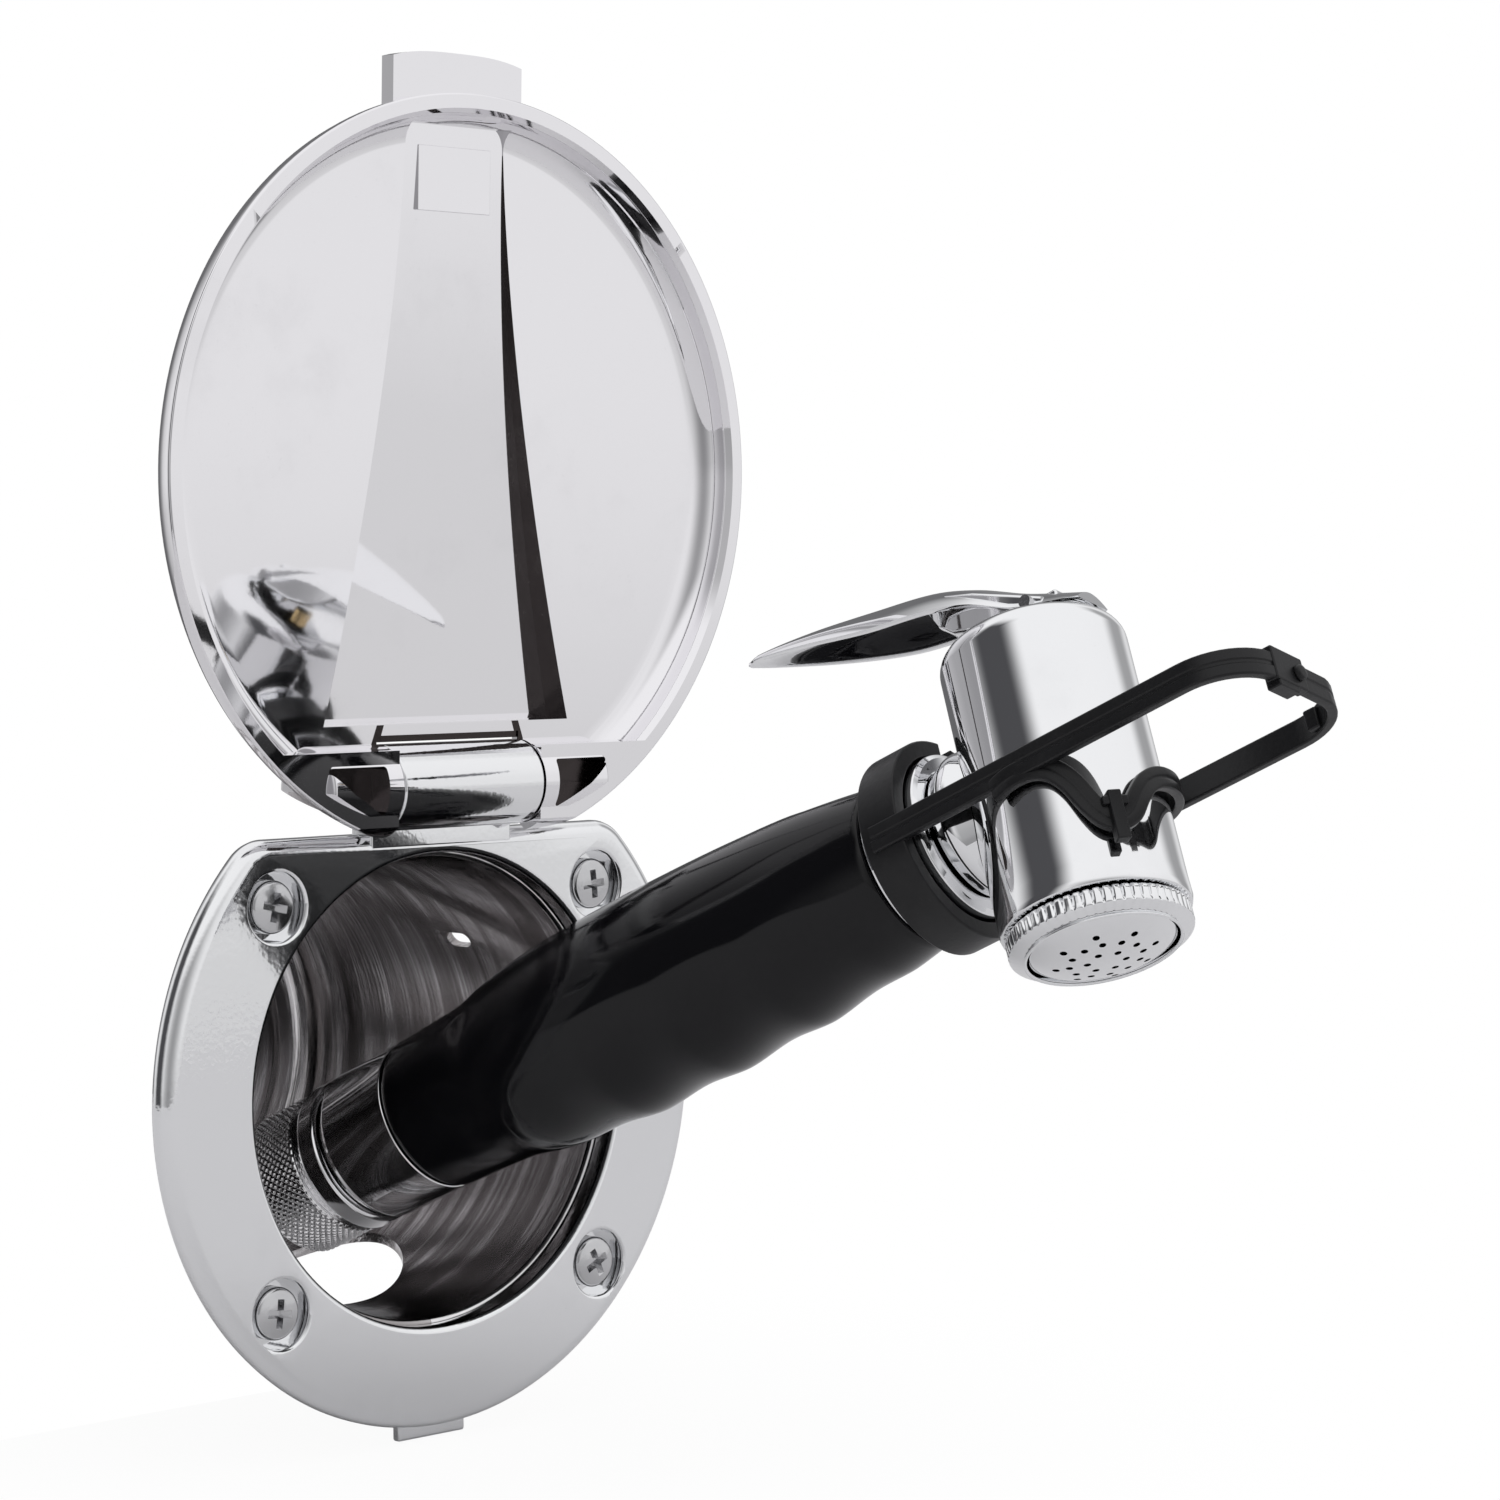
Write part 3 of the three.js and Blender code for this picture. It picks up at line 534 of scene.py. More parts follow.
ear_profile = rounded([(0, -EAR_END), (BARREL_R, -EAR_END, 0.6), (BARREL_R, EAR_END, 0.6), (0, EAR_END)])
ears = turned("ears", ear_profile, lid_barrel_axes, 96)
trim = turned("trim", [(0, -12), (DISH_R + 0.6, -12), (DISH_R + 0.6, 12), (0, 12)], lid_disc_axes, 192)
combined(ears, [trim], "INTERSECT")
web = slab("web", (-EAR_END - 4, -6.25, 0), (EAR_END + 4, LID_BACK, 8.6), lid_axes)
web_round = turned("web_round", [(0, -60), (8.7, -60), (8.7, 60), (0, 60)], lid_barrel_axes, 96)
combined(web, [web_round], "INTERSECT")
combined(lid, [wedge("bulge", 1.7, -1, 1.7), thumb_tab(), web], "UNION")

# %% Lid hollows
dish = turned("dish", rounded([
    (0, -12), (DISH_R + 0.9, -12), (DISH_R + 0.9, LID_FACE), (DISH_R, LID_FACE + 1.2, 0.9),
    (DISH_R - 0.6, DISH_FLOOR, 4.6), (DISH_R - 6.2, DISH_FLOOR), (0, DISH_FLOOR)], 8), lid_disc_axes, 192)
web_room = slab("web_room", (-60, -20, -30), (60, 20, 7.0), lid_axes)
combined(dish, [web_room], "DIFFERENCE")
combined(lid, [dish, wedge("recess", 0, -4, 0)], "DIFFERENCE")
combined(lid, [ears], "UNION")
cuts = [slab("slot", (-SLOT_HALF, -20, -14), (SLOT_HALF, 20, 8.1), lid_axes)]
cuts.append(slab("slot_ledge", (-SLOT_HALF, -20, 7), (SLOT_HALF, 0.5, 9.3), lid_axes))
under = slab("under", (-80, -20, -20), (80, 20, 0), lid_axes)
keep = turned("keep", [(0, -80), (9.2, -80), (9.2, 80), (0, 80)], lid_barrel_axes, 96)
combined(under, [keep], "DIFFERENCE")
cuts.append(under)
for side in (-1, 1):
    corner = [(side * 20.4, 4.3), (side * 34.4, 4.3), (side * 28.4, -0.4), (side * 20.4, -4.9)]
    cuts.append(prism("pocket", rounded([c + (0.6,) for c in corner], 4), -9, -2.6, lid_axes))
combined(lid, cuts, "DIFFERENCE")
settle(lid, "lid_body", "lid_chrome", ["lid"])


# %% [markdown]
# ### Painted shade in the lid's hollows
# The pockets, the slot and the sides of the recess are painted darker, as painted shade for the shade that falls
# in them.
# They are one casting with the lid, so they are found by place and direction, and get a second, darker finish.

# %% Faces of the lid that get painted shade
def painted_shade(centre, normal):
    """True for the deep faces of the lid that get painted shade: the pockets, the slot and the sides of the
    recess.
    """
    x, y, z = abs(centre.x), centre.y, centre.z
    pocket = 20.2 < x < 34.6 and -5.2 < z < 4.6 and -6.0 < y < -2.4
    slot = x < 17.2 and 7.0 < z < 9.5 and -5.6 < y < 0.7
    inside = x < 0.8 + recess_half(min(1, (z - RECESS_LOW) / (RECESS_HIGH - RECESS_LOW)))
    wedge_side = inside and 12 < z < 119.2 and DISH_FLOOR + 0.02 < y < 6.2 and abs(normal.x) > 0.7
    return pocket or slot or wedge_side


to_lid = lid_axes.inverted()
painted_shade_faces = []
for polygon in lid.data.polygons:
    if painted_shade(to_lid @ polygon.center / MM, to_lid.to_3x3() @ polygon.normal):
        painted_shade_faces.append(polygon.index)
print("unpolished faces of the lid", len(painted_shade_faces))

# %% Latch plate
PLATE_HALF = 8.6
pad = slab("latch_plate", (-PLATE_HALF, DISH_FLOOR - 0.06, 103.9), (PLATE_HALF, DISH_FLOOR + 0.7, 115.6),
           lid_axes, 0.1)
settle(pad, "lid_body", "lid_chrome", ["latch_pad"])

# %% [markdown]
# ## Hose nut and collar
# The nut at the handle's foot is knurled with two sets of crossing grooves. The diamonds are a millimetre wide,
# but they catch the light one by one, so they are real relief in a fine turned mesh.

# %% Knurled nut
KNURLS = 58
NUT_R = 14.2


def knurl(angle, radius, height):
    """How far the knurled band falls below its points."""
    if radius < 12.6 or not -36.2 < height < -25.1:
        return 0
    lean = (height + 36) / NUT_R
    first = abs(math.sin(KNURLS * (angle + lean) / 2))
    second = abs(math.sin(KNURLS * (angle - lean) / 2))
    fade = min(1, (height + 36.2) / 0.5, (-25.1 - height) / 0.5)
    return -0.45 * fade * (1 - min(first, second, 0.7) / 0.7)


band = [(NUT_R, -36.0 + 0.16 * k) for k in range(68)]
nut_profile = [(10.6, -37), (NUT_R - 1.1, -37), (NUT_R - 0.4, -36.6)] + band
nut_profile += [(NUT_R - 0.2, -24.9)] + rounded([
    (NUT_R - 1.0, -24.7), (NUT_R - 1.0, -23.5), (NUT_R + 0.5, -22.2, 0.6), (NUT_R + 0.3, -18.8, 0.4),
    (NUT_R - 0.7, -18.1), (6.2, -18.1), (6.2, -20.5), (10.6, -20.5)])
nut = turned("knurled_nut", nut_profile, sprayer_axes, KNURLS * 8, knurl)
settle(nut, "nut", "nut_steel", ["hose_nut"], 50)

COLLAR_R = 14.8
collar = turned("collar_sleeve", rounded([
    (4, -17.8), (COLLAR_R - 1.6, -17.8), (COLLAR_R - 1.6, -17.1), (COLLAR_R - 0.5, -16.5, 0.3),
    (COLLAR_R, -15.4, 0.5), (COLLAR_R, -0.3, 0.3), (5.8, -0.3), (5.8, -6), (4, -6)]), sprayer_axes, 128)
settle(collar, "sprayer", "sprayer_chrome", ["collar"])

# %% [markdown]
# ## Grip
# The grip is a moulded black handle, full in the middle, with four finger hollows underneath and a flat thumb
# panel on top. It starts as a turned form, and each point then moves in or out.

# %% Moulded grip
GRIP_LENGTH = 117
SHAPE = [(0, 14.9), (9, 15.2), (18, 15.8), (25, 17.2), (38, 18.7), (56, 19.2), (72, 19.0), (86, 18.5),
         (98, 17.8), (108, 16.6), (GRIP_LENGTH, 15.2)]


def ease(value, low, high):
    """Rises smoothly from 0 at low to 1 at high."""
    s = min(1, max(0, (value - low) / (high - low)))
    return s * s * (3 - 2 * s)


def between(table, value):
    """A smooth curve through the table's points."""
    k = max(i for i in range(len(table) - 1) if table[i][0] <= value or i == 0)
    (x0, y0), (x1, y1) = table[k], table[k + 1]
    before = table[k - 1] if k > 0 else (2 * x0 - x1, 2 * y0 - y1)
    after = table[k + 2] if k + 2 < len(table) else (2 * x1 - x0, 2 * y1 - y0)
    m0 = (y1 - before[1]) / (x1 - before[0]) * (x1 - x0)
    m1 = (after[1] - y0) / (after[0] - x0) * (x1 - x0)
    s = (value - x0) / (x1 - x0)
    a, b = 2 * s**3 - 3 * s**2 + 1, s**3 - 2 * s**2 + s
    return a * y0 + b * m0 + (1 - a) * y1 + (s**3 - s**2) * m1


def moulding(angle, radius, height):
    """Finger hollows below and a thumb panel above."""
    if radius < 10:
        return 0
    below, above = max(0, -math.sin(angle)), max(0, math.sin(angle))
    fingers = math.sin(math.pi * (height - 28) / 20) ** 2 if 28 < height < 108 else 0
    spread = ease(below, 0.25, 1.0)
    change = -0.9 * spread * fingers**0.8
    across = abs(math.cos(angle)) * radius
    panel = ease(across, 10.4, 9.6) if above > 0 else 0
    panel *= ease(height, 44, 46) * ease(height, 116, 113)
    return change - 0.35 * panel * ease(above, 0.3, 0.6)


GRIP_STEPS = 200
grip_rows = []
for k in range(GRIP_STEPS + 1):
    z = GRIP_LENGTH * k / GRIP_STEPS
    end_rounding = 0.5 * (1 - ease(z, 0, 1.2)) + 0.4 * ease(z, GRIP_LENGTH - 1, GRIP_LENGTH)
    grip_rows.append((between(SHAPE, z) - end_rounding, z))
grip = turned("grip_moulding", [(6.2, 0)] + grip_rows + [(6.2, GRIP_LENGTH)], sprayer_axes, 160, moulding)
settle(grip, "sprayer", "grip_black", ["grip"], 60)

# %% [markdown]
# ## Neck and head
# Above the grip come a chrome sleeve, a rounded neck and the drum-shaped head, all turned and plated.
# A chrome drum mirrors long bands of the room, so its wall is perfectly straight and only its edges are round.

# %% Sleeve, neck and head
sleeve = turned("end_sleeve", rounded([
    (6.1, 117.3), (15.3, 117.3, 0.3), (15.3, 129, 0.5), (14.4, 129.6), (6.1, 129.6)]), sprayer_axes, 128)
settle(sleeve, "sprayer", "sprayer_chrome", ["end_ring"])

neck = turned("neck_ball", rounded([
    (6.1, 130), (12.2, 130, 0.6), (13.9, 133.6, 3.2), (11.2, 139, 1.8), (11.2, 143), (6.1, 143)], 8),
    sprayer_axes, 128)
drum_room = turned("drum_room", [(0, -45), (16.6, -45), (16.6, 45), (0, 45)], head_axes, 128)
combined(neck, [drum_room], "DIFFERENCE")
settle(neck, "sprayer", "sprayer_chrome", ["neck"])

HEAD_R = 16.5
head = turned("head_drum", rounded([
    (0, -18), (13.6, -18), (13.6, -26.2), (HEAD_R - 0.2, -26.2, 0.35), (HEAD_R + 0.1, -25), (HEAD_R, -22),
    (HEAD_R, 28.2, 4.2), (0, 28.2)], 10), head_axes, 192)
PIVOT = 5.5
lug = slab("lug", (-2.6, -PIVOT - 3.5, 25), (2.6, -PIVOT + 3.5, 33.6), head_axes, 0.5)
gathered(head, [lug])
settle(head, "sprayer", "sprayer_chrome", ["head_body"])

# %% [markdown]
# ## Spray nozzle
# The ring under the drum has short upright ribs, then a smooth bevel. Inside it sits a domed face with three
# rings of small holes. The ribs are relief in the turned mesh, and the holes are drilled one by one.

# %% Ribbed ring and spray face
RIBS = 58


def ribs(angle, radius, height):
    """The ribbed band: rounded ribs with narrow grooves."""
    if radius < 15.2 or height < -29.6:
        return 0
    groove = abs(math.sin(RIBS * angle / 2))
    fade = min(1, (height + 29.6) / 0.35)
    return -0.55 * fade * (1 - ease(groove, 0.0, 0.75))


ring_profile = rounded([(12.7, -31.2, 0.2), (13.6, -31.4, 0.4), (15.0, -30.0, 0.3)])
ring_profile += [(15.8, -29.8), (15.9, -29.5), (15.9, -28.6), (15.9, -27.7), (15.9, -27.0), (15.4, -26.5)]
ring_profile += [(13.2, -26.4), (13.2, -23.3), (11.6, -23.3), (11.6, -28.4), (12.7, -28.4)]
ring = turned("ribbed_ring", ring_profile, head_axes, RIBS * 10, ribs)
settle(ring, "nozzle", "sprayer_chrome", ["nozzle_ring"], 50)

DOME_R = 12.6
DOME_ARC = 1.2
dome = []
for k in range(15):
    a = DOME_ARC * k / 14
    sag = 2.9 * (1 - math.cos(a)) / (1 - math.cos(DOME_ARC))
    dome.append((DOME_R * math.sin(a) / math.sin(DOME_ARC), -33.6 + sag))
face = turned("spray_dome", dome + [(DOME_R, -28.8), (7.8, -30.0), (4, -30.8), (0, -31.1)], head_axes, 96)
DRILL_R = 0.62
drills = []
for radius, count, start in ((3.3, 6, 10), (6.3, 12, 0), (8.6, 8, 25)):
    for k in range(count):
        angle = math.radians(start + 360 * k / count)
        x, y = radius * math.cos(angle), radius * math.sin(angle)
        drills.append(turned("drill", [(0, -36), (DRILL_R, -36), (DRILL_R, -28), (0, -28)],
                             shifted(head_axes, x, y, 0), 16))
combined(face, [gathered(drills[0], drills[1:])], "DIFFERENCE")
settle(face, "nozzle", "sprayer_chrome", ["spray_face"])

# %% [markdown]
# ## Lever
# The lever is a pressed spoon with a crowned top, a hollow underside and a pointed tip over the grip.
# It is stretched over cross sections from tip to heel, and a web near the pivot fills it out into a fork.

# %% Lever sections
# Height of the ridge, height of the edges and half width, each at a place along the handle.
LEVER_TIP = 91.5
LEVER_HEEL = 164
LEVER_SHEET = 1.5
RIDGE = [(LEVER_TIP, 52.8), (95, 52.9), (108, 51.0), (122, 48.2), (135, 45.2), (144, 41.3), (153, 36.0),
         (160, 32.6), (LEVER_HEEL, 30.8)]
EDGE_LINE = [(LEVER_TIP, 52.0), (95, 51.0), (108, 46.4), (122, 41.9), (135, 39.0), (144, 36.0), (153, 31.0),
             (160, 29.2), (LEVER_HEEL, 28.9)]
WIDTH = [(LEVER_TIP, 0.5), (95, 2.9), (108, 6.4), (122, 8.0), (135, 8.4), (144, 8.4), (153, 8.0), (160, 6.8),
         (LEVER_HEEL, 4.5)]


def lever_section(t):
    """A crowned top and a hollow underside at one place along the lever."""
    half, ridge, edge = between(WIDTH, t), between(RIDGE, t), between(EDGE_LINE, t)
    crown = ridge - edge
    hollow = ease(t, 92, 97) * ease(t, 163.5, 160)
    outer, inner = [], []
    for k in range(17):
        s = -1 + k / 8
        lift = 1 - abs(s) ** 1.9
        outer.append((half * s, edge + crown * lift, t))
        under = max(0.0, 1 - (abs(s) / 0.86) ** 1.3)
        inner.append((half * s * 0.93, edge + hollow * max(0, crown - LEVER_SHEET) * under - 0.15, t))
    return outer + inner[::-1]


LEVER_STEPS = 72
lever_places = [LEVER_TIP + (LEVER_HEEL - LEVER_TIP) * k / LEVER_STEPS for k in range(LEVER_STEPS + 1)]
lever = stretched("lever_spoon", [lever_section(t) for t in lever_places], sprayer_axes)
WEB = [
    (133, 2.6, 40.5, 43.5), (135.5, 4.4, 36.5, 42.8), (139, 5.8, 33.4, 41.5), (145, 6.8, 31.0, 38.6),
    (152, 7.2, 29.7, 34.6), (158, 6.6, 29.2, 31.4),
]
web_sections = []
for t, half_width, low, high in WEB:
    ring_of_points = rounded([(-half_width, low, 0.8), (half_width, low, 0.8), (half_width, high, 0.9),
                              (-half_width, high, 0.9)], 4)
    web_sections.append([(x, y, t) for x, y in ring_of_points])
web = stretched("lever_web", web_sections, sprayer_axes)
fork_room = slab("fork_room", (-2.95, 10, 150.8), (2.95, 50, 170), sprayer_axes)
combined(web, [fork_room], "DIFFERENCE")
gathered(lever, [web])
settle(lever, "lever_body", "sprayer_chrome", ["lever"], 40)

# %% [markdown]
# ## Clip
# A springy black moulding: a split ring round the sleeve, a long loop past the head and a strap that dips
# across the head's front. Each is one softened section carried along a path; the loop and the strap have a fine
# line down their middle.

# %% Clip straps
CLIP_RISE = -2.5


def strap_section(width, thick, groove=0.22):
    """(out, up) points of a flat strap with soft corners and a groove down its outer face."""
    half, t = width / 2, thick / 2
    outline = rounded([(-t, -half, 0.4), (t, -half, 0.4), (t, half, 0.4), (-t, half, 0.4)], 3)
    if groove == 0:
        return outline
    place = max(k for k, (a, b) in enumerate(outline) if a > t - 0.01 and b < 0) + 1
    line = [(t, -0.5), (t - groove, -0.25), (t - groove, 0.25), (t, 0.5)]
    return outline[:place] + line + outline[place:]


def swept(name, path, section, place):
    """The section carried along a path of (point, outward, upward)."""
    sections = []
    for point, outward, upwards in path:
        sections.append([Vector(point) + Vector(outward) * a + Vector(upwards) * b for a, b in section])
    return stretched(name, sections, place)


LOOP_HALF = 17.9
LOOP_END = 197.4
CORNER = 11
LOOP_START = 121.5
LOOP_STRAIGHT = LOOP_END - CORNER - LOOP_START
loop_path = []
UP = (0, 1, 0)
for k in range(30):
    loop_path.append(((-LOOP_HALF, CLIP_RISE, LOOP_START + LOOP_STRAIGHT * k / 29), (-1, 0, 0), UP))
for side in (-1, 1):
    for k in range(1, 13):
        a = math.pi / 2 * k / 12 if side < 0 else math.pi / 2 * (1 - k / 12)
        out = (side * math.cos(a), 0, math.sin(a))
        centre = (side * (LOOP_HALF - CORNER), CLIP_RISE, LOOP_END - CORNER)
        loop_path.append((Vector(centre) + Vector(out) * CORNER, out, UP))
for k in range(30):
    loop_path.append(((LOOP_HALF, CLIP_RISE, LOOP_END - CORNER - LOOP_STRAIGHT * k / 29), (1, 0, 0), UP))
loop = swept("clip_loop", loop_path, strap_section(4.9, 1.9), sprayer_axes)

RING_R = 17.15
RING_AT = 123.6
ring_path = []
for k in range(73):
    a = math.radians(92 + 348 * k / 72)
    out = Vector((math.cos(a), math.sin(a), 0))
    ring_path.append((out * RING_R + Vector((0, 0, RING_AT)), out, (0, 0, 1)))
clip_ring = swept("clip_ring", ring_path, strap_section(8, 3.0, 0), sprayer_axes)

# The strap's height at each angle round the head, from the side of the loop across the front.
STRAP_R = 18.25
WAVE = [(-100, -5.2), (-87, -4.2), (-74, -4.2), (-64, -5.6), (-56, -8.6), (-49, -13.0), (-43, -15.6),
        (-36, -16.4), (-28, -15.2), (-21, -12.0), (-13, -9.2), (0, -7.4), (30, -6.2), (62, -5.0), (96, -4.0)]
wave_path = []
for k in range(121):
    angle = -99 + 194 * k / 120
    a = math.radians(angle)
    rise = between(WAVE, angle)
    out = Vector((math.sin(a), 0, math.cos(a)))
    slope = (between(WAVE, min(95.9, angle + 1)) - between(WAVE, angle - 0.9)) / (1.9 * math.pi / 180 * 18.5)
    tangent = Vector((math.cos(a), slope, -math.sin(a))).normalized()
    wave_path.append((out * STRAP_R + Vector((0, rise, HEAD_AT)), out, out.cross(tangent) * -1))
strap = swept("clip_strap", wave_path, strap_section(4.1, 1.7, 0.15), sprayer_axes)
dip_axes = shifted(sprayer_axes, 0, 0, HEAD_AT) @ Matrix.Rotation(math.radians(-37), 4, "Y")
tab_up = slab("tab_up", (-1.2, -20.6, 17.9), (1.2, -11.6, 20.2), dip_axes, 0.3)
tab_across = slab("tab_across", (-2.3, -14.2, 18.3), (2.3, -12.6, 20.0), dip_axes, 0.3)
buckle = slab("buckle", (-8.2, CLIP_RISE - 2.6, LOOP_END - 1.3), (1.2, CLIP_RISE + 3.5, LOOP_END + 1.15),
              sprayer_axes, 0.35)
buckle_step = slab("buckle_step", (-7.4, CLIP_RISE - 3.6, LOOP_END - 1.9),
                   (-1.5, CLIP_RISE - 1, LOOP_END + 0.9), sprayer_axes, 0.3)
corner_rib = slab("corner_rib", (14.6, CLIP_RISE - 1.9, LOOP_END - 8),
                  (16.2, CLIP_RISE + 1.9, LOOP_END - 5.4), sprayer_axes, 0.4)
clip = gathered(loop, [clip_ring, strap, tab_up, tab_across, buckle, buckle_step, corner_rib])
clip.name = "clip_moulding"
settle(clip, "clip_body", "clip_black", ["clip"], 40)
pin = turned("clip_stud", rounded([
    (0, LOOP_END - 2.5), (0.6, LOOP_END - 2.5), (0.6, LOOP_END + 1.2), (1.5, LOOP_END + 1.2, 0.2),
    (1.3, LOOP_END + 2.2, 0.5), (0, LOOP_END + 2.4)]),
    shifted(sprayer_axes, -1.2, CLIP_RISE, 0), 32)
settle(pin, "clip_body", "clip_black", ["clip_pin"])

# %% [markdown]
# # Finishes
# Real metal is never perfectly even. Three effects are shared by many finishes, so each is a node group:
# a soft ripple left by casting and plating, the fine lines of spinning with broad streaks that also carry a
# painted sheen, and faint smears.
# Each group puts out only what varies over the surface, and every material sets its own strengths.

# %% Node groups
def new_group(name, vectors, floats, outputs):
    """An empty node group with named vector inputs, float inputs with their defaults, and float outputs."""
    group = bpy.data.node_groups.new(name, "ShaderNodeTree")
    for label in vectors:
        group.interface.new_socket(label, in_out="INPUT", socket_type="NodeSocketVector")
    for label, value in floats.items():
        socket = group.interface.new_socket(label, in_out="INPUT", socket_type="NodeSocketFloat")
        socket.default_value = value
    for label in outputs:
        group.interface.new_socket(label, in_out="OUTPUT", socket_type="NodeSocketFloat")
    start = group.nodes.new("NodeGroupInput")
    end = group.nodes.new("NodeGroupOutput")
    return group, start, end


def feed(tree, socket, value):
    """Links a socket, or sets a plain value."""
    if isinstance(value, bpy.types.NodeSocket):
        tree.links.new(value, socket)
    else:
        socket.default_value = value


def noise(tree, place, scale, detail=1.0, roughness=0.5):
    """Noise read at a place, with its scale in features per metre."""
    node = tree.nodes.new("ShaderNodeTexNoise")
    tree.links.new(place, node.inputs["Vector"])
    node.inputs["Scale"].default_value = scale
    node.inputs["Detail"].default_value = detail
    node.inputs["Roughness"].default_value = roughness
    return node.outputs["Fac"]


def span(tree, value, low, high, to_low, to_high):
    """Maps a value from one span to another, smoothly."""
    node = tree.nodes.new("ShaderNodeMapRange")
    node.interpolation_type = "SMOOTHSTEP"
    node.inputs["From Min"].default_value = low
    node.inputs["From Max"].default_value = high
    feed(tree, node.inputs["To Min"], to_low)
    feed(tree, node.inputs["To Max"], to_high)
    tree.links.new(value, node.inputs["Value"])
    return node.outputs["Result"]


def math_node(tree, operation, first, second):
    """A calculation on two sockets or numbers."""
    node = tree.nodes.new("ShaderNodeMath")
    node.operation = operation
    feed(tree, node.inputs[0], first)
    feed(tree, node.inputs[1], second)
    return node.outputs["Value"]


ripple_group, start, end = new_group("cast_ripple", ["Place"], {"Pebble": 0.3, "Swell": 0.3}, ["Height"])
pebble = noise(ripple_group, start.outputs["Place"], 900)
swell = noise(ripple_group, start.outputs["Place"], 42)
fine = math_node(ripple_group, "MULTIPLY", pebble, start.outputs["Pebble"])
broad = math_node(ripple_group, "MULTIPLY", swell, start.outputs["Swell"])
ripple_group.links.new(math_node(ripple_group, "ADD", fine, broad), end.inputs["Height"])

smear_group, start, end = new_group(
    "handling_smears", ["Place"], {"Clean": 0.05, "Smeared": 0.12}, ["Roughness", "Mask"])
cloud = noise(smear_group, start.outputs["Place"], 24, 5.0, 0.62)
speck = noise(smear_group, start.outputs["Place"], 1500, 2.0)
mask = span(smear_group, cloud, 0.5, 0.72, 0.0, 1.0)
dust = span(smear_group, speck, 0.66, 0.74, 0.0, 0.5)
both = math_node(smear_group, "ADD", mask, dust)
gloss = span(smear_group, both, 0, 1.4, start.outputs["Clean"], start.outputs["Smeared"])
smear_group.links.new(gloss, end.inputs["Roughness"])
smear_group.links.new(both, end.inputs["Mask"])

line_group, start, end = new_group("spin_lines_and_sheen", ["Place", "Stretch"], {}, ["Height", "Streak"])
drawn = line_group.nodes.new("ShaderNodeVectorMath")
drawn.operation = "MULTIPLY"
line_group.links.new(start.outputs["Place"], drawn.inputs[0])
line_group.links.new(start.outputs["Stretch"], drawn.inputs[1])
line_group.links.new(noise(line_group, drawn.outputs["Vector"], 1, 3.0, 0.6), end.inputs["Height"])
line_group.links.new(noise(line_group, drawn.outputs["Vector"], 0.12, 3.0, 0.7), end.inputs["Streak"])
print("groups", [group.name for group in bpy.data.node_groups])

# %% [markdown]
# ## Materials
# Chrome is a mirror that is barely grey, so its look comes from what it reflects and from its small faults.
# Smears set its roughness and ripple gives its relief. One function builds every such finish.

# %% A metal finish
def group_node(tree, group, **values):
    """Places a node group and sets its inputs."""
    node = tree.nodes.new("ShaderNodeGroup")
    node.node_tree = group
    for name, value in values.items():
        feed(tree, node.inputs[name], value)
    return node


def finish(name, colour, metallic):
    """A material with its Principled shader and the object's own coordinates."""
    material = bpy.data.materials.new(name)
    material.use_nodes = True
    tree = material.node_tree
    shader = tree.nodes["Principled BSDF"]
    shader.inputs["Base Color"].default_value = (*colour, 1)
    shader.inputs["Metallic"].default_value = metallic
    place = tree.nodes.new("ShaderNodeTexCoord").outputs["Object"]
    return material, tree, shader, place


def mixed(tree, factor, first, second):
    """A colour between first and second, each of which is a socket or a plain colour."""
    mix = tree.nodes.new("ShaderNodeMix")
    mix.data_type = "RGBA"
    tree.links.new(factor, mix.inputs["Factor"])
    for name, colour in (("A", first), ("B", second)):
        is_socket = isinstance(colour, bpy.types.NodeSocket)
        feed(tree, mix.inputs[name], colour if is_socket else (*colour, 1))
    return mix.outputs["Result"]


def tint(tree, shader, mask, first, second, low=0.3, high=0.7):
    """Lets the base colour drift between two colours, close ones on most finishes; on the cup its pale and dark
    streaks are painted sheen.
    """
    colour = mixed(tree, span(tree, mask, low, high, 0, 1), first, second)
    tree.links.new(colour, shader.inputs["Base Color"])
    return colour


def relief(tree, shader, height, depth):
    """Small relief on the surface, with its depth in metres."""
    bump = tree.nodes.new("ShaderNodeBump")
    bump.inputs["Strength"].default_value = 1.0
    bump.inputs["Distance"].default_value = depth
    tree.links.new(height, bump.inputs["Height"])
    tree.links.new(bump.outputs["Normal"], shader.inputs["Normal"])


finishes = {}


def worn(name, metallic, first, second, mask_low, gloss, ripples, depth):
    """A handled surface: smears set its gloss and tint, and ripple bends its reflections a little."""
    material, tree, shader, place = finish(name, first, metallic)
    smears = group_node(tree, smear_group, Place=place, Clean=gloss[0], Smeared=gloss[1])
    tree.links.new(smears.outputs["Roughness"], shader.inputs["Roughness"])
    tint(tree, shader, smears.outputs["Mask"], first, second, mask_low, 1.4)
    ripple = group_node(tree, ripple_group, Place=place, Pebble=ripples[0], Swell=ripples[1])
    relief(tree, shader, ripple.outputs["Height"], depth)
    finishes[name] = material
    return shader


def metal(name, bright, dull, gloss, ripples, depth=0.0003):
    """Plated or bare metal; gloss is the roughness when clean and smeared, ripples is (pebble, swell)."""
    worn(name, 1.0, bright, dull, 0, gloss, ripples, depth)


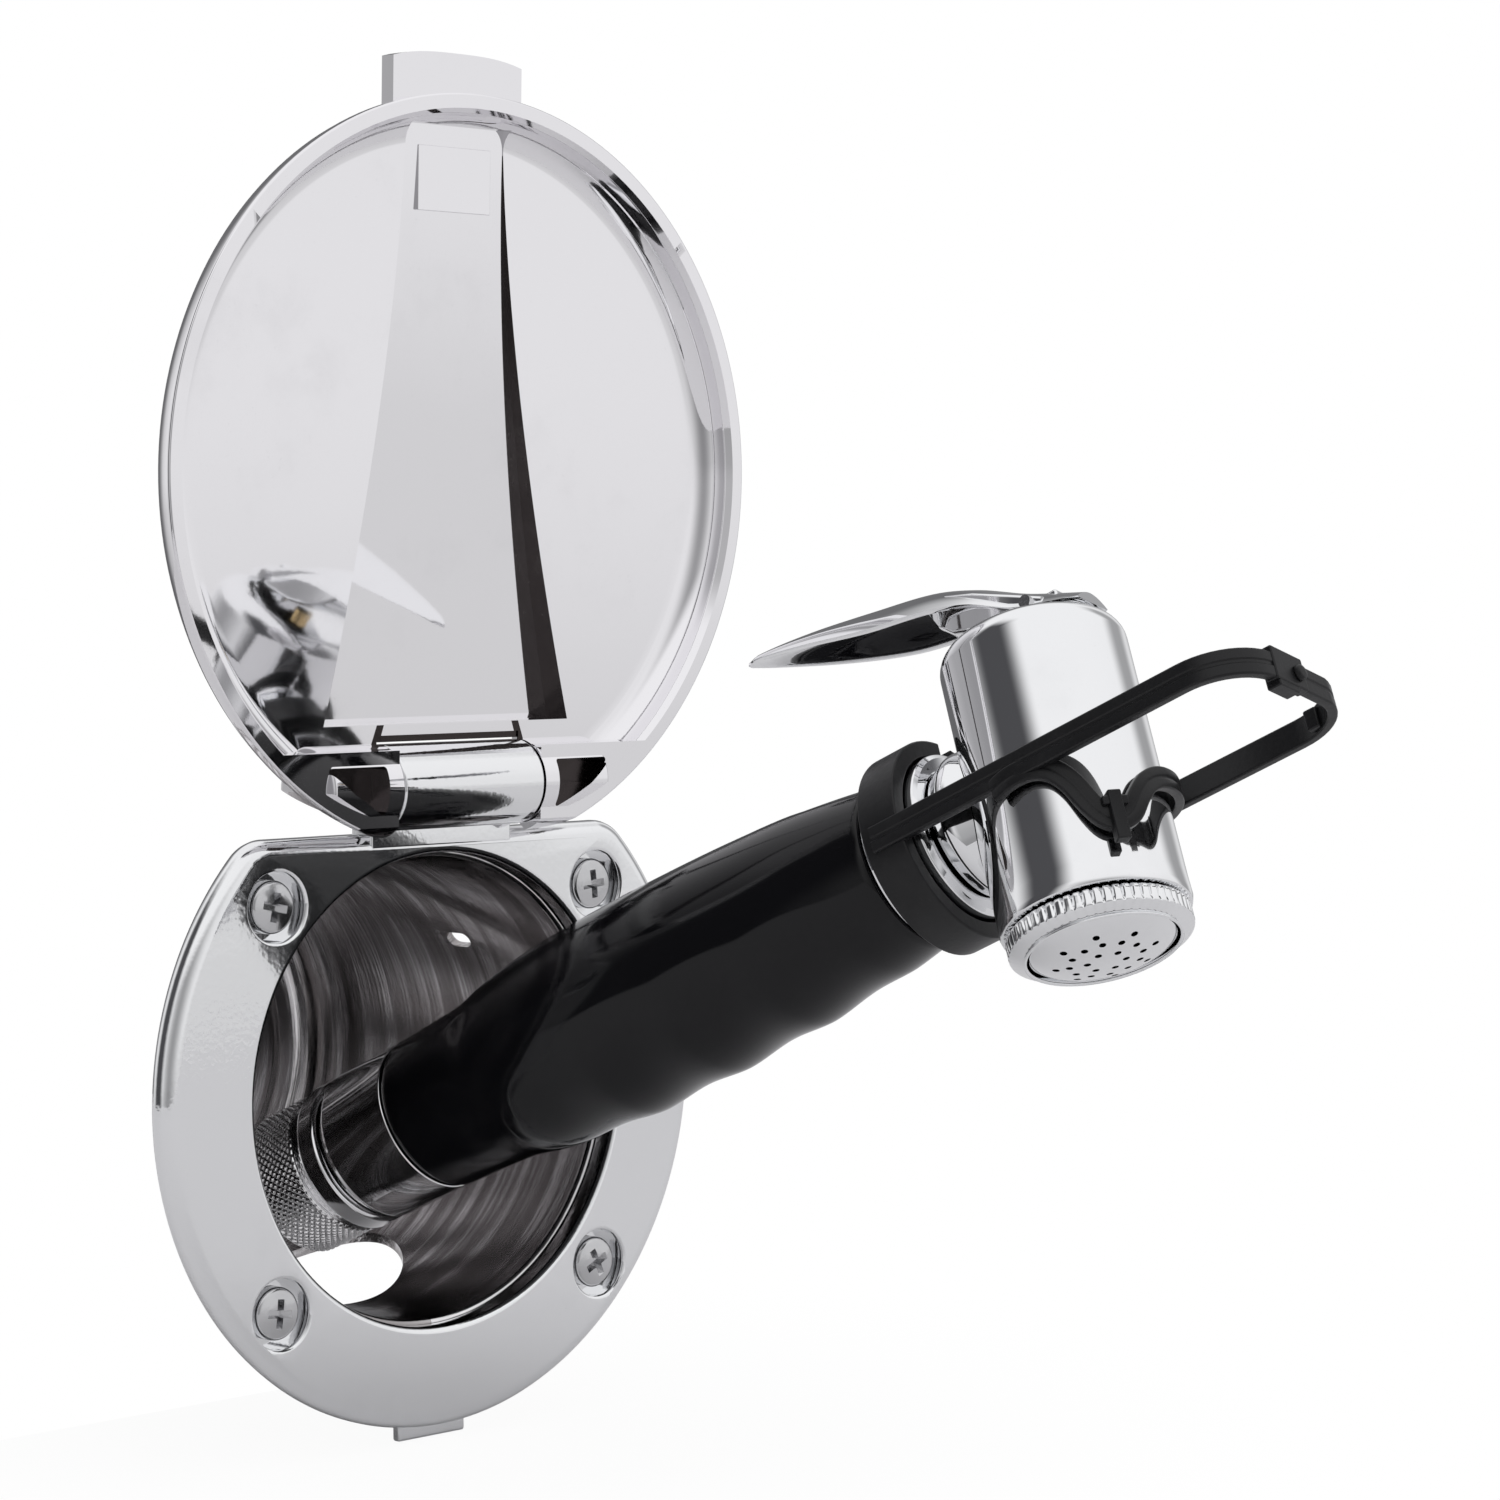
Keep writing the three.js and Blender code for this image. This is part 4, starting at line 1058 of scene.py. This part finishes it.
# %% Chrome and steel
metal("flange_chrome", (0.88, 0.885, 0.895), (0.8, 0.805, 0.815), (0.07, 0.12), (0.035, 0.3), 0.0004)
metal("lid_chrome", (0.885, 0.875, 0.895), (0.83, 0.82, 0.84), (0.035, 0.07), (0.002, 0.1), 0.0004)
metal("sprayer_chrome", (0.9, 0.905, 0.915), (0.85, 0.855, 0.865), (0.03, 0.06), (0.001, 0.04))
metal("screw_steel", (0.62, 0.62, 0.63), (0.5, 0.5, 0.51), (0.16, 0.3), (0.06, 0.1))
metal("nut_steel", (0.8, 0.8, 0.81), (0.7, 0.7, 0.71), (0.09, 0.18), (0.02, 0.1))
metal("spring_steel", (0.55, 0.55, 0.56), (0.42, 0.42, 0.43), (0.22, 0.36), (0.04, 0.1))
metal("inner_brass", (0.78, 0.58, 0.3), (0.6, 0.42, 0.2), (0.2, 0.38), (0.05, 0.1))
# The lid's pockets, slot and recess sides get this dark finish as painted shade.
metal("painted_shade_metal", (0.05, 0.043, 0.042), (0.09, 0.08, 0.078), (0.2, 0.34), (0.05, 0.2))

# %% [markdown]
# ## Spun steel
# Spinning leaves lines that run round the cup, drawn as relief. The broad streaks between them change roughness
# and relief, and their pale and dark bands in the colour are painted sheen. A texture in straight axes would
# cross the wall at a slant, so the place is turned into an angle, a depth and a radius.

# %% Steel of the cup
material, tree, shader, place = finish("cup_steel", (0.78, 0.78, 0.79), 1.0)
apart = tree.nodes.new("ShaderNodeSeparateXYZ")
tree.links.new(place, apart.inputs["Vector"])
turn = math_node(tree, "ARCTAN2", apart.outputs["X"], apart.outputs["Z"])
across = math_node(tree, "MULTIPLY", apart.outputs["X"], apart.outputs["X"])
upright = math_node(tree, "MULTIPLY", apart.outputs["Z"], apart.outputs["Z"])
reach = math_node(tree, "SQRT", math_node(tree, "ADD", across, upright), 0)
polar = tree.nodes.new("ShaderNodeCombineXYZ")
for value, name in ((turn, "X"), (apart.outputs["Y"], "Y"), (reach, "Z")):
    tree.links.new(value, polar.inputs[name])
lines = group_node(tree, line_group, Place=polar.outputs["Vector"], Stretch=(2.2, 1500, 1500))
relief(tree, shader, math_node(tree, "ADD", lines.outputs["Height"], lines.outputs["Streak"]), 0.00006)
tree.links.new(span(tree, lines.outputs["Streak"], 0.3, 0.7, 0.07, 0.2), shader.inputs["Roughness"])
# Pale and dark bands of colour along the streaks: painted sheen.
tint(tree, shader, lines.outputs["Streak"], (0.88, 0.87, 0.88), (0.36, 0.34, 0.34), 0.36, 0.62)
finishes["cup_steel"] = material

# %% [markdown]
# ## Plastics and rubber
# The grip is glossy plastic and the clip satin. Both are nearly black, so gloss carries the shape.
# The skin is slightly uneven, as moulded parts are. Rubber is matt with a bloom.

# %% Black finishes
def moulded(name, colour, bloom, gloss, ripples, depth=0.0004):
    """A moulded skin, on which a pale bloom gathers in places."""
    shader = worn(name, 0.0, colour, bloom, 0.2, gloss, ripples, depth)
    shader.inputs["Specular IOR Level"].default_value = 0.3


moulded("grip_black", (0.004, 0.004, 0.005), (0.008, 0.008, 0.009), (0.09, 0.16), (0.002, 0.08))
moulded("clip_black", (0.010, 0.010, 0.011), (0.02, 0.02, 0.021), (0.34, 0.5), (0.10, 0.1), 0.0003)
moulded("gasket_rubber", (0.016, 0.016, 0.016), (0.04, 0.04, 0.04), (0.62, 0.8), (0.2, 0.2))
moulded("inner_rubber", (0.014, 0.014, 0.014), (0.03, 0.03, 0.03), (0.5, 0.7), (0.15, 0.2))

# %% Give every piece its finish
INNER = {
    "screw_steel": ["hinge_pin", "lever_pin"],
    "inner_rubber": ["hose_washer", "valve_washer", "stem_seal", "nozzle_gasket", "valve_seat"],
    "inner_brass": ["inlet_spigot", "water_tube", "valve_stem", "flow_disc"],
    "spring_steel": ["return_spring"],
    "gasket_rubber": ["flange_gasket"],
}
finish_of = {node: name for name, nodes in INNER.items() for node in nodes}
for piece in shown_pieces():
    choice = piece.get("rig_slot")
    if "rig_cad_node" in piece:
        choice = finish_of[piece["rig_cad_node"]]
        smooth(piece, 35)
    piece.data.materials.clear()
    piece.data.materials.append(finishes[choice])
    # The lid's deep faces get the dark finish as painted shade.
    if piece == lid:
        piece.data.materials.append(finishes["painted_shade_metal"])
        for index in painted_shade_faces:
            piece.data.polygons[index].material_index = 1
    print(piece.name, choice)

# %% [markdown]
# # Floor, light and camera
# Polished metal shows the whole room, so the light is a white studio with a few soft dark bands to mirror.
# The floor is plain and pale. To the camera it fades to white away from the object; the chrome sees it darker.
# The camera stands to the left of the flange and low, with a long lens.

# %% Floor
def glow_for_camera(tree, amount, otherwise):
    """Mixes plain white light into a surface, for rays that come from the camera."""
    glow = tree.nodes.new("ShaderNodeEmission")
    choose = tree.nodes.new("ShaderNodeMixShader")
    seen = tree.nodes.new("ShaderNodeLightPath").outputs["Is Camera Ray"]
    tree.links.new(math_node(tree, "MULTIPLY", amount, seen), choose.inputs["Fac"])
    tree.links.new(otherwise, choose.inputs[1])
    tree.links.new(glow.outputs["Emission"], choose.inputs[2])
    tree.links.new(choose.outputs["Shader"], tree.nodes["Material Output"].inputs["Surface"])


FLOOR_R = 0.72
MIRRORED_FLOOR = (0.74, 0.735, 0.745)
floor_height = cad_box[0][2] - 0.0005
floor_mesh = bpy.data.meshes.new("floor")
rim_points = [(x, y, floor_height) for x, y in circle(0, 0, FLOOR_R, 96)]
floor_mesh.from_pydata(rim_points, [], [tuple(range(96))])
floor = placed("floor", floor_mesh)
material, tree, shader, place = finish("floor_white", (0.9, 0.9, 0.9), 0.0)
floor_grain = noise(tree, place, 60, 3)
tree.links.new(span(tree, floor_grain, 0.3, 0.7, 0.75, 0.85), shader.inputs["Roughness"])
pale = tint(tree, shader, floor_grain, (0.93, 0.93, 0.93), (0.9, 0.9, 0.905))
in_mirror = tree.nodes.new("ShaderNodeLightPath").outputs["Is Glossy Ray"]
tree.links.new(mixed(tree, in_mirror, pale, MIRRORED_FLOOR), shader.inputs["Base Color"])
far = tree.nodes.new("ShaderNodeVectorMath")
far.operation = "LENGTH"
tree.links.new(place, far.inputs[0])
open_floor = span(tree, far.outputs["Value"], 0.06, 0.2, 0.95, 1)
glow_for_camera(tree, open_floor, shader.outputs["BSDF"])
floor_mesh.materials.append(material)

# %% [markdown]
# ## White card
# On a boat the transom hides the outside of the cup, so it shouldn't show past the flange's left edge. A
# wall with a hole in it would shade the object and fill the chrome. A card that only the camera sees,
# from the front, covers the same view and leaves the light alone. Its edge follows the opening, so it
# never hides the inside.

# %% Card behind the flange
card_mesh = bpy.data.meshes.new("white_card")
CARD_R = 44.6
CARD_LEFT, CARD_LOW, CARD_HIGH = -138, -52, 70
CARD_Y = 0.8
around = [math.pi * (1.36 - 0.86 * k / 40) for k in range(41)]
card_edge = [(CARD_LEFT, CARD_LOW), (-19, CARD_LOW)]
card_edge += [(CARD_R * math.cos(a), CARD_R * math.sin(a)) for a in around]
card_edge += [(0, CARD_HIGH), (CARD_LEFT, CARD_HIGH)]
card_points = [(x * MM, CARD_Y * MM, z * MM) for x, z in card_edge]
card_mesh.from_pydata(card_points, [], [tuple(range(len(card_points)))])
white_card = placed("white_card", card_mesh)
material, tree, shader, place = finish("card_white", (1, 1, 1), 0.0)
clear = tree.nodes.new("ShaderNodeBsdfTransparent")
behind = tree.nodes.new("ShaderNodeNewGeometry").outputs["Backfacing"]
glow_for_camera(tree, math_node(tree, "SUBTRACT", 1, behind), clear.outputs["BSDF"])
card_mesh.materials.append(material)

# %% Studio light
world = bpy.data.worlds.new("studio")
world.use_nodes = True
bpy.context.scene.world = world
tree = world.node_tree
tree.nodes.clear()
out = tree.nodes.new("ShaderNodeOutputWorld")
background = tree.nodes.new("ShaderNodeBackground")
tree.links.new(background.outputs["Background"], out.inputs["Surface"])
direction = tree.nodes.new("ShaderNodeTexCoord").outputs["Generated"]
apart = tree.nodes.new("ShaderNodeSeparateXYZ")
tree.links.new(direction, apart.inputs["Vector"])
ramp = tree.nodes.new("ShaderNodeValToRGB")
ramp.color_ramp.interpolation = "B_SPLINE"
RAMP_STOPS = [(0.0, 0.5), (0.44, 0.72), (0.5, 0.87), (0.58, 0.82), (0.75, 0.9), (1.0, 0.95)]
stops = ramp.color_ramp.elements
stops[0].position, stops[1].position = RAMP_STOPS[0][0], RAMP_STOPS[-1][0]
for position, level in RAMP_STOPS[1:-1]:
    stops.new(position)
for element, (position, level) in zip(stops, RAMP_STOPS):
    element.color = (level, level, level * 1.01, 1)
tree.links.new(span(tree, apart.outputs["Z"], -1, 1, 0, 1), ramp.inputs["Fac"])


def card(azimuth, width, low, high, soft):
    """How much of a direction is covered by a dark upright card: 1 inside it, 0 outside."""
    angle = math_node(tree, "ARCTAN2", apart.outputs["X"], apart.outputs["Y"])
    turned_by = math_node(tree, "SUBTRACT", angle, math.radians(azimuth))
    wrapped = math_node(tree, "WRAP", turned_by, math.pi)
    wrapped.node.inputs[2].default_value = -math.pi
    side = math_node(tree, "ABSOLUTE", wrapped, 0)
    across = span(tree, side, math.radians(width / 2 - soft), math.radians(width / 2 + soft), 1, 0)
    above = span(tree, apart.outputs["Z"], low - 0.1, low + 0.1, 0, 1)
    below = span(tree, apart.outputs["Z"], high - 0.12, high + 0.12, 1, 0)
    return math_node(tree, "MULTIPLY", across, math_node(tree, "MULTIPLY", above, below))


# Azimuth and width in degrees, lower and upper edge, softness in degrees, and strength.
CARDS = [
    (-140, 62, -0.6, 0.5, 30, 0.62), (25, 70, -0.6, 0.6, 20, 0.85), (-64, 50, -0.7, 0.8, 14, 0.95),
    (92, 26, -0.4, 0.7, 9, 0.6),
]
level = ramp.outputs["Color"]
for azimuth, width, low, high, soft, strength in CARDS:
    covered = math_node(tree, "MULTIPLY", card(azimuth, width, low, high, soft), strength)
    level = mixed(tree, covered, level, (0.03, 0.03, 0.035))
seen = tree.nodes.new("ShaderNodeLightPath").outputs["Is Camera Ray"]
tree.links.new(mixed(tree, seen, level, (1, 1, 1)), background.inputs["Color"])
background.inputs["Strength"].default_value = 1.0


def softbox(name, place, target, width, height, power):
    """A rectangular light aimed at a point. The chrome doesn't mirror it, so it draws no hard edges there."""
    data = bpy.data.lights.new(name, "AREA")
    data.shape = "RECTANGLE"
    data.size, data.size_y, data.energy = width, height, power
    light = placed(name, data)
    light.location = place
    light.visible_glossy = False
    light.rotation_euler = (Vector(target) - Vector(place)).to_track_quat("-Z", "Y").to_euler()


softbox("key_light", (0.1, -0.9, 1.3), (0, 0, 0), 0.9, 0.7, 2)
softbox("left_light", (-1.2, -0.1, 0.7), (0, 0, 0.05), 0.5, 1.0, 1)

# %% Camera
camera_data = bpy.data.cameras.new("camera")
camera_data.lens = 97.97
camera_data.sensor_width = 36
camera_data.clip_start = 0.05
camera = placed("camera", camera_data)
right = Vector((0.70622, -0.70795, -0.00715))
above = Vector((0.03187, 0.02170, 0.99926))
forward = Vector((0.70727, 0.70593, -0.03788))
camera.matrix_world = axes((-0.4889, -0.5759, 0.0904), right, above, -forward)
bpy.context.scene.camera = camera
bpy.context.scene.view_settings.view_transform = "Standard"
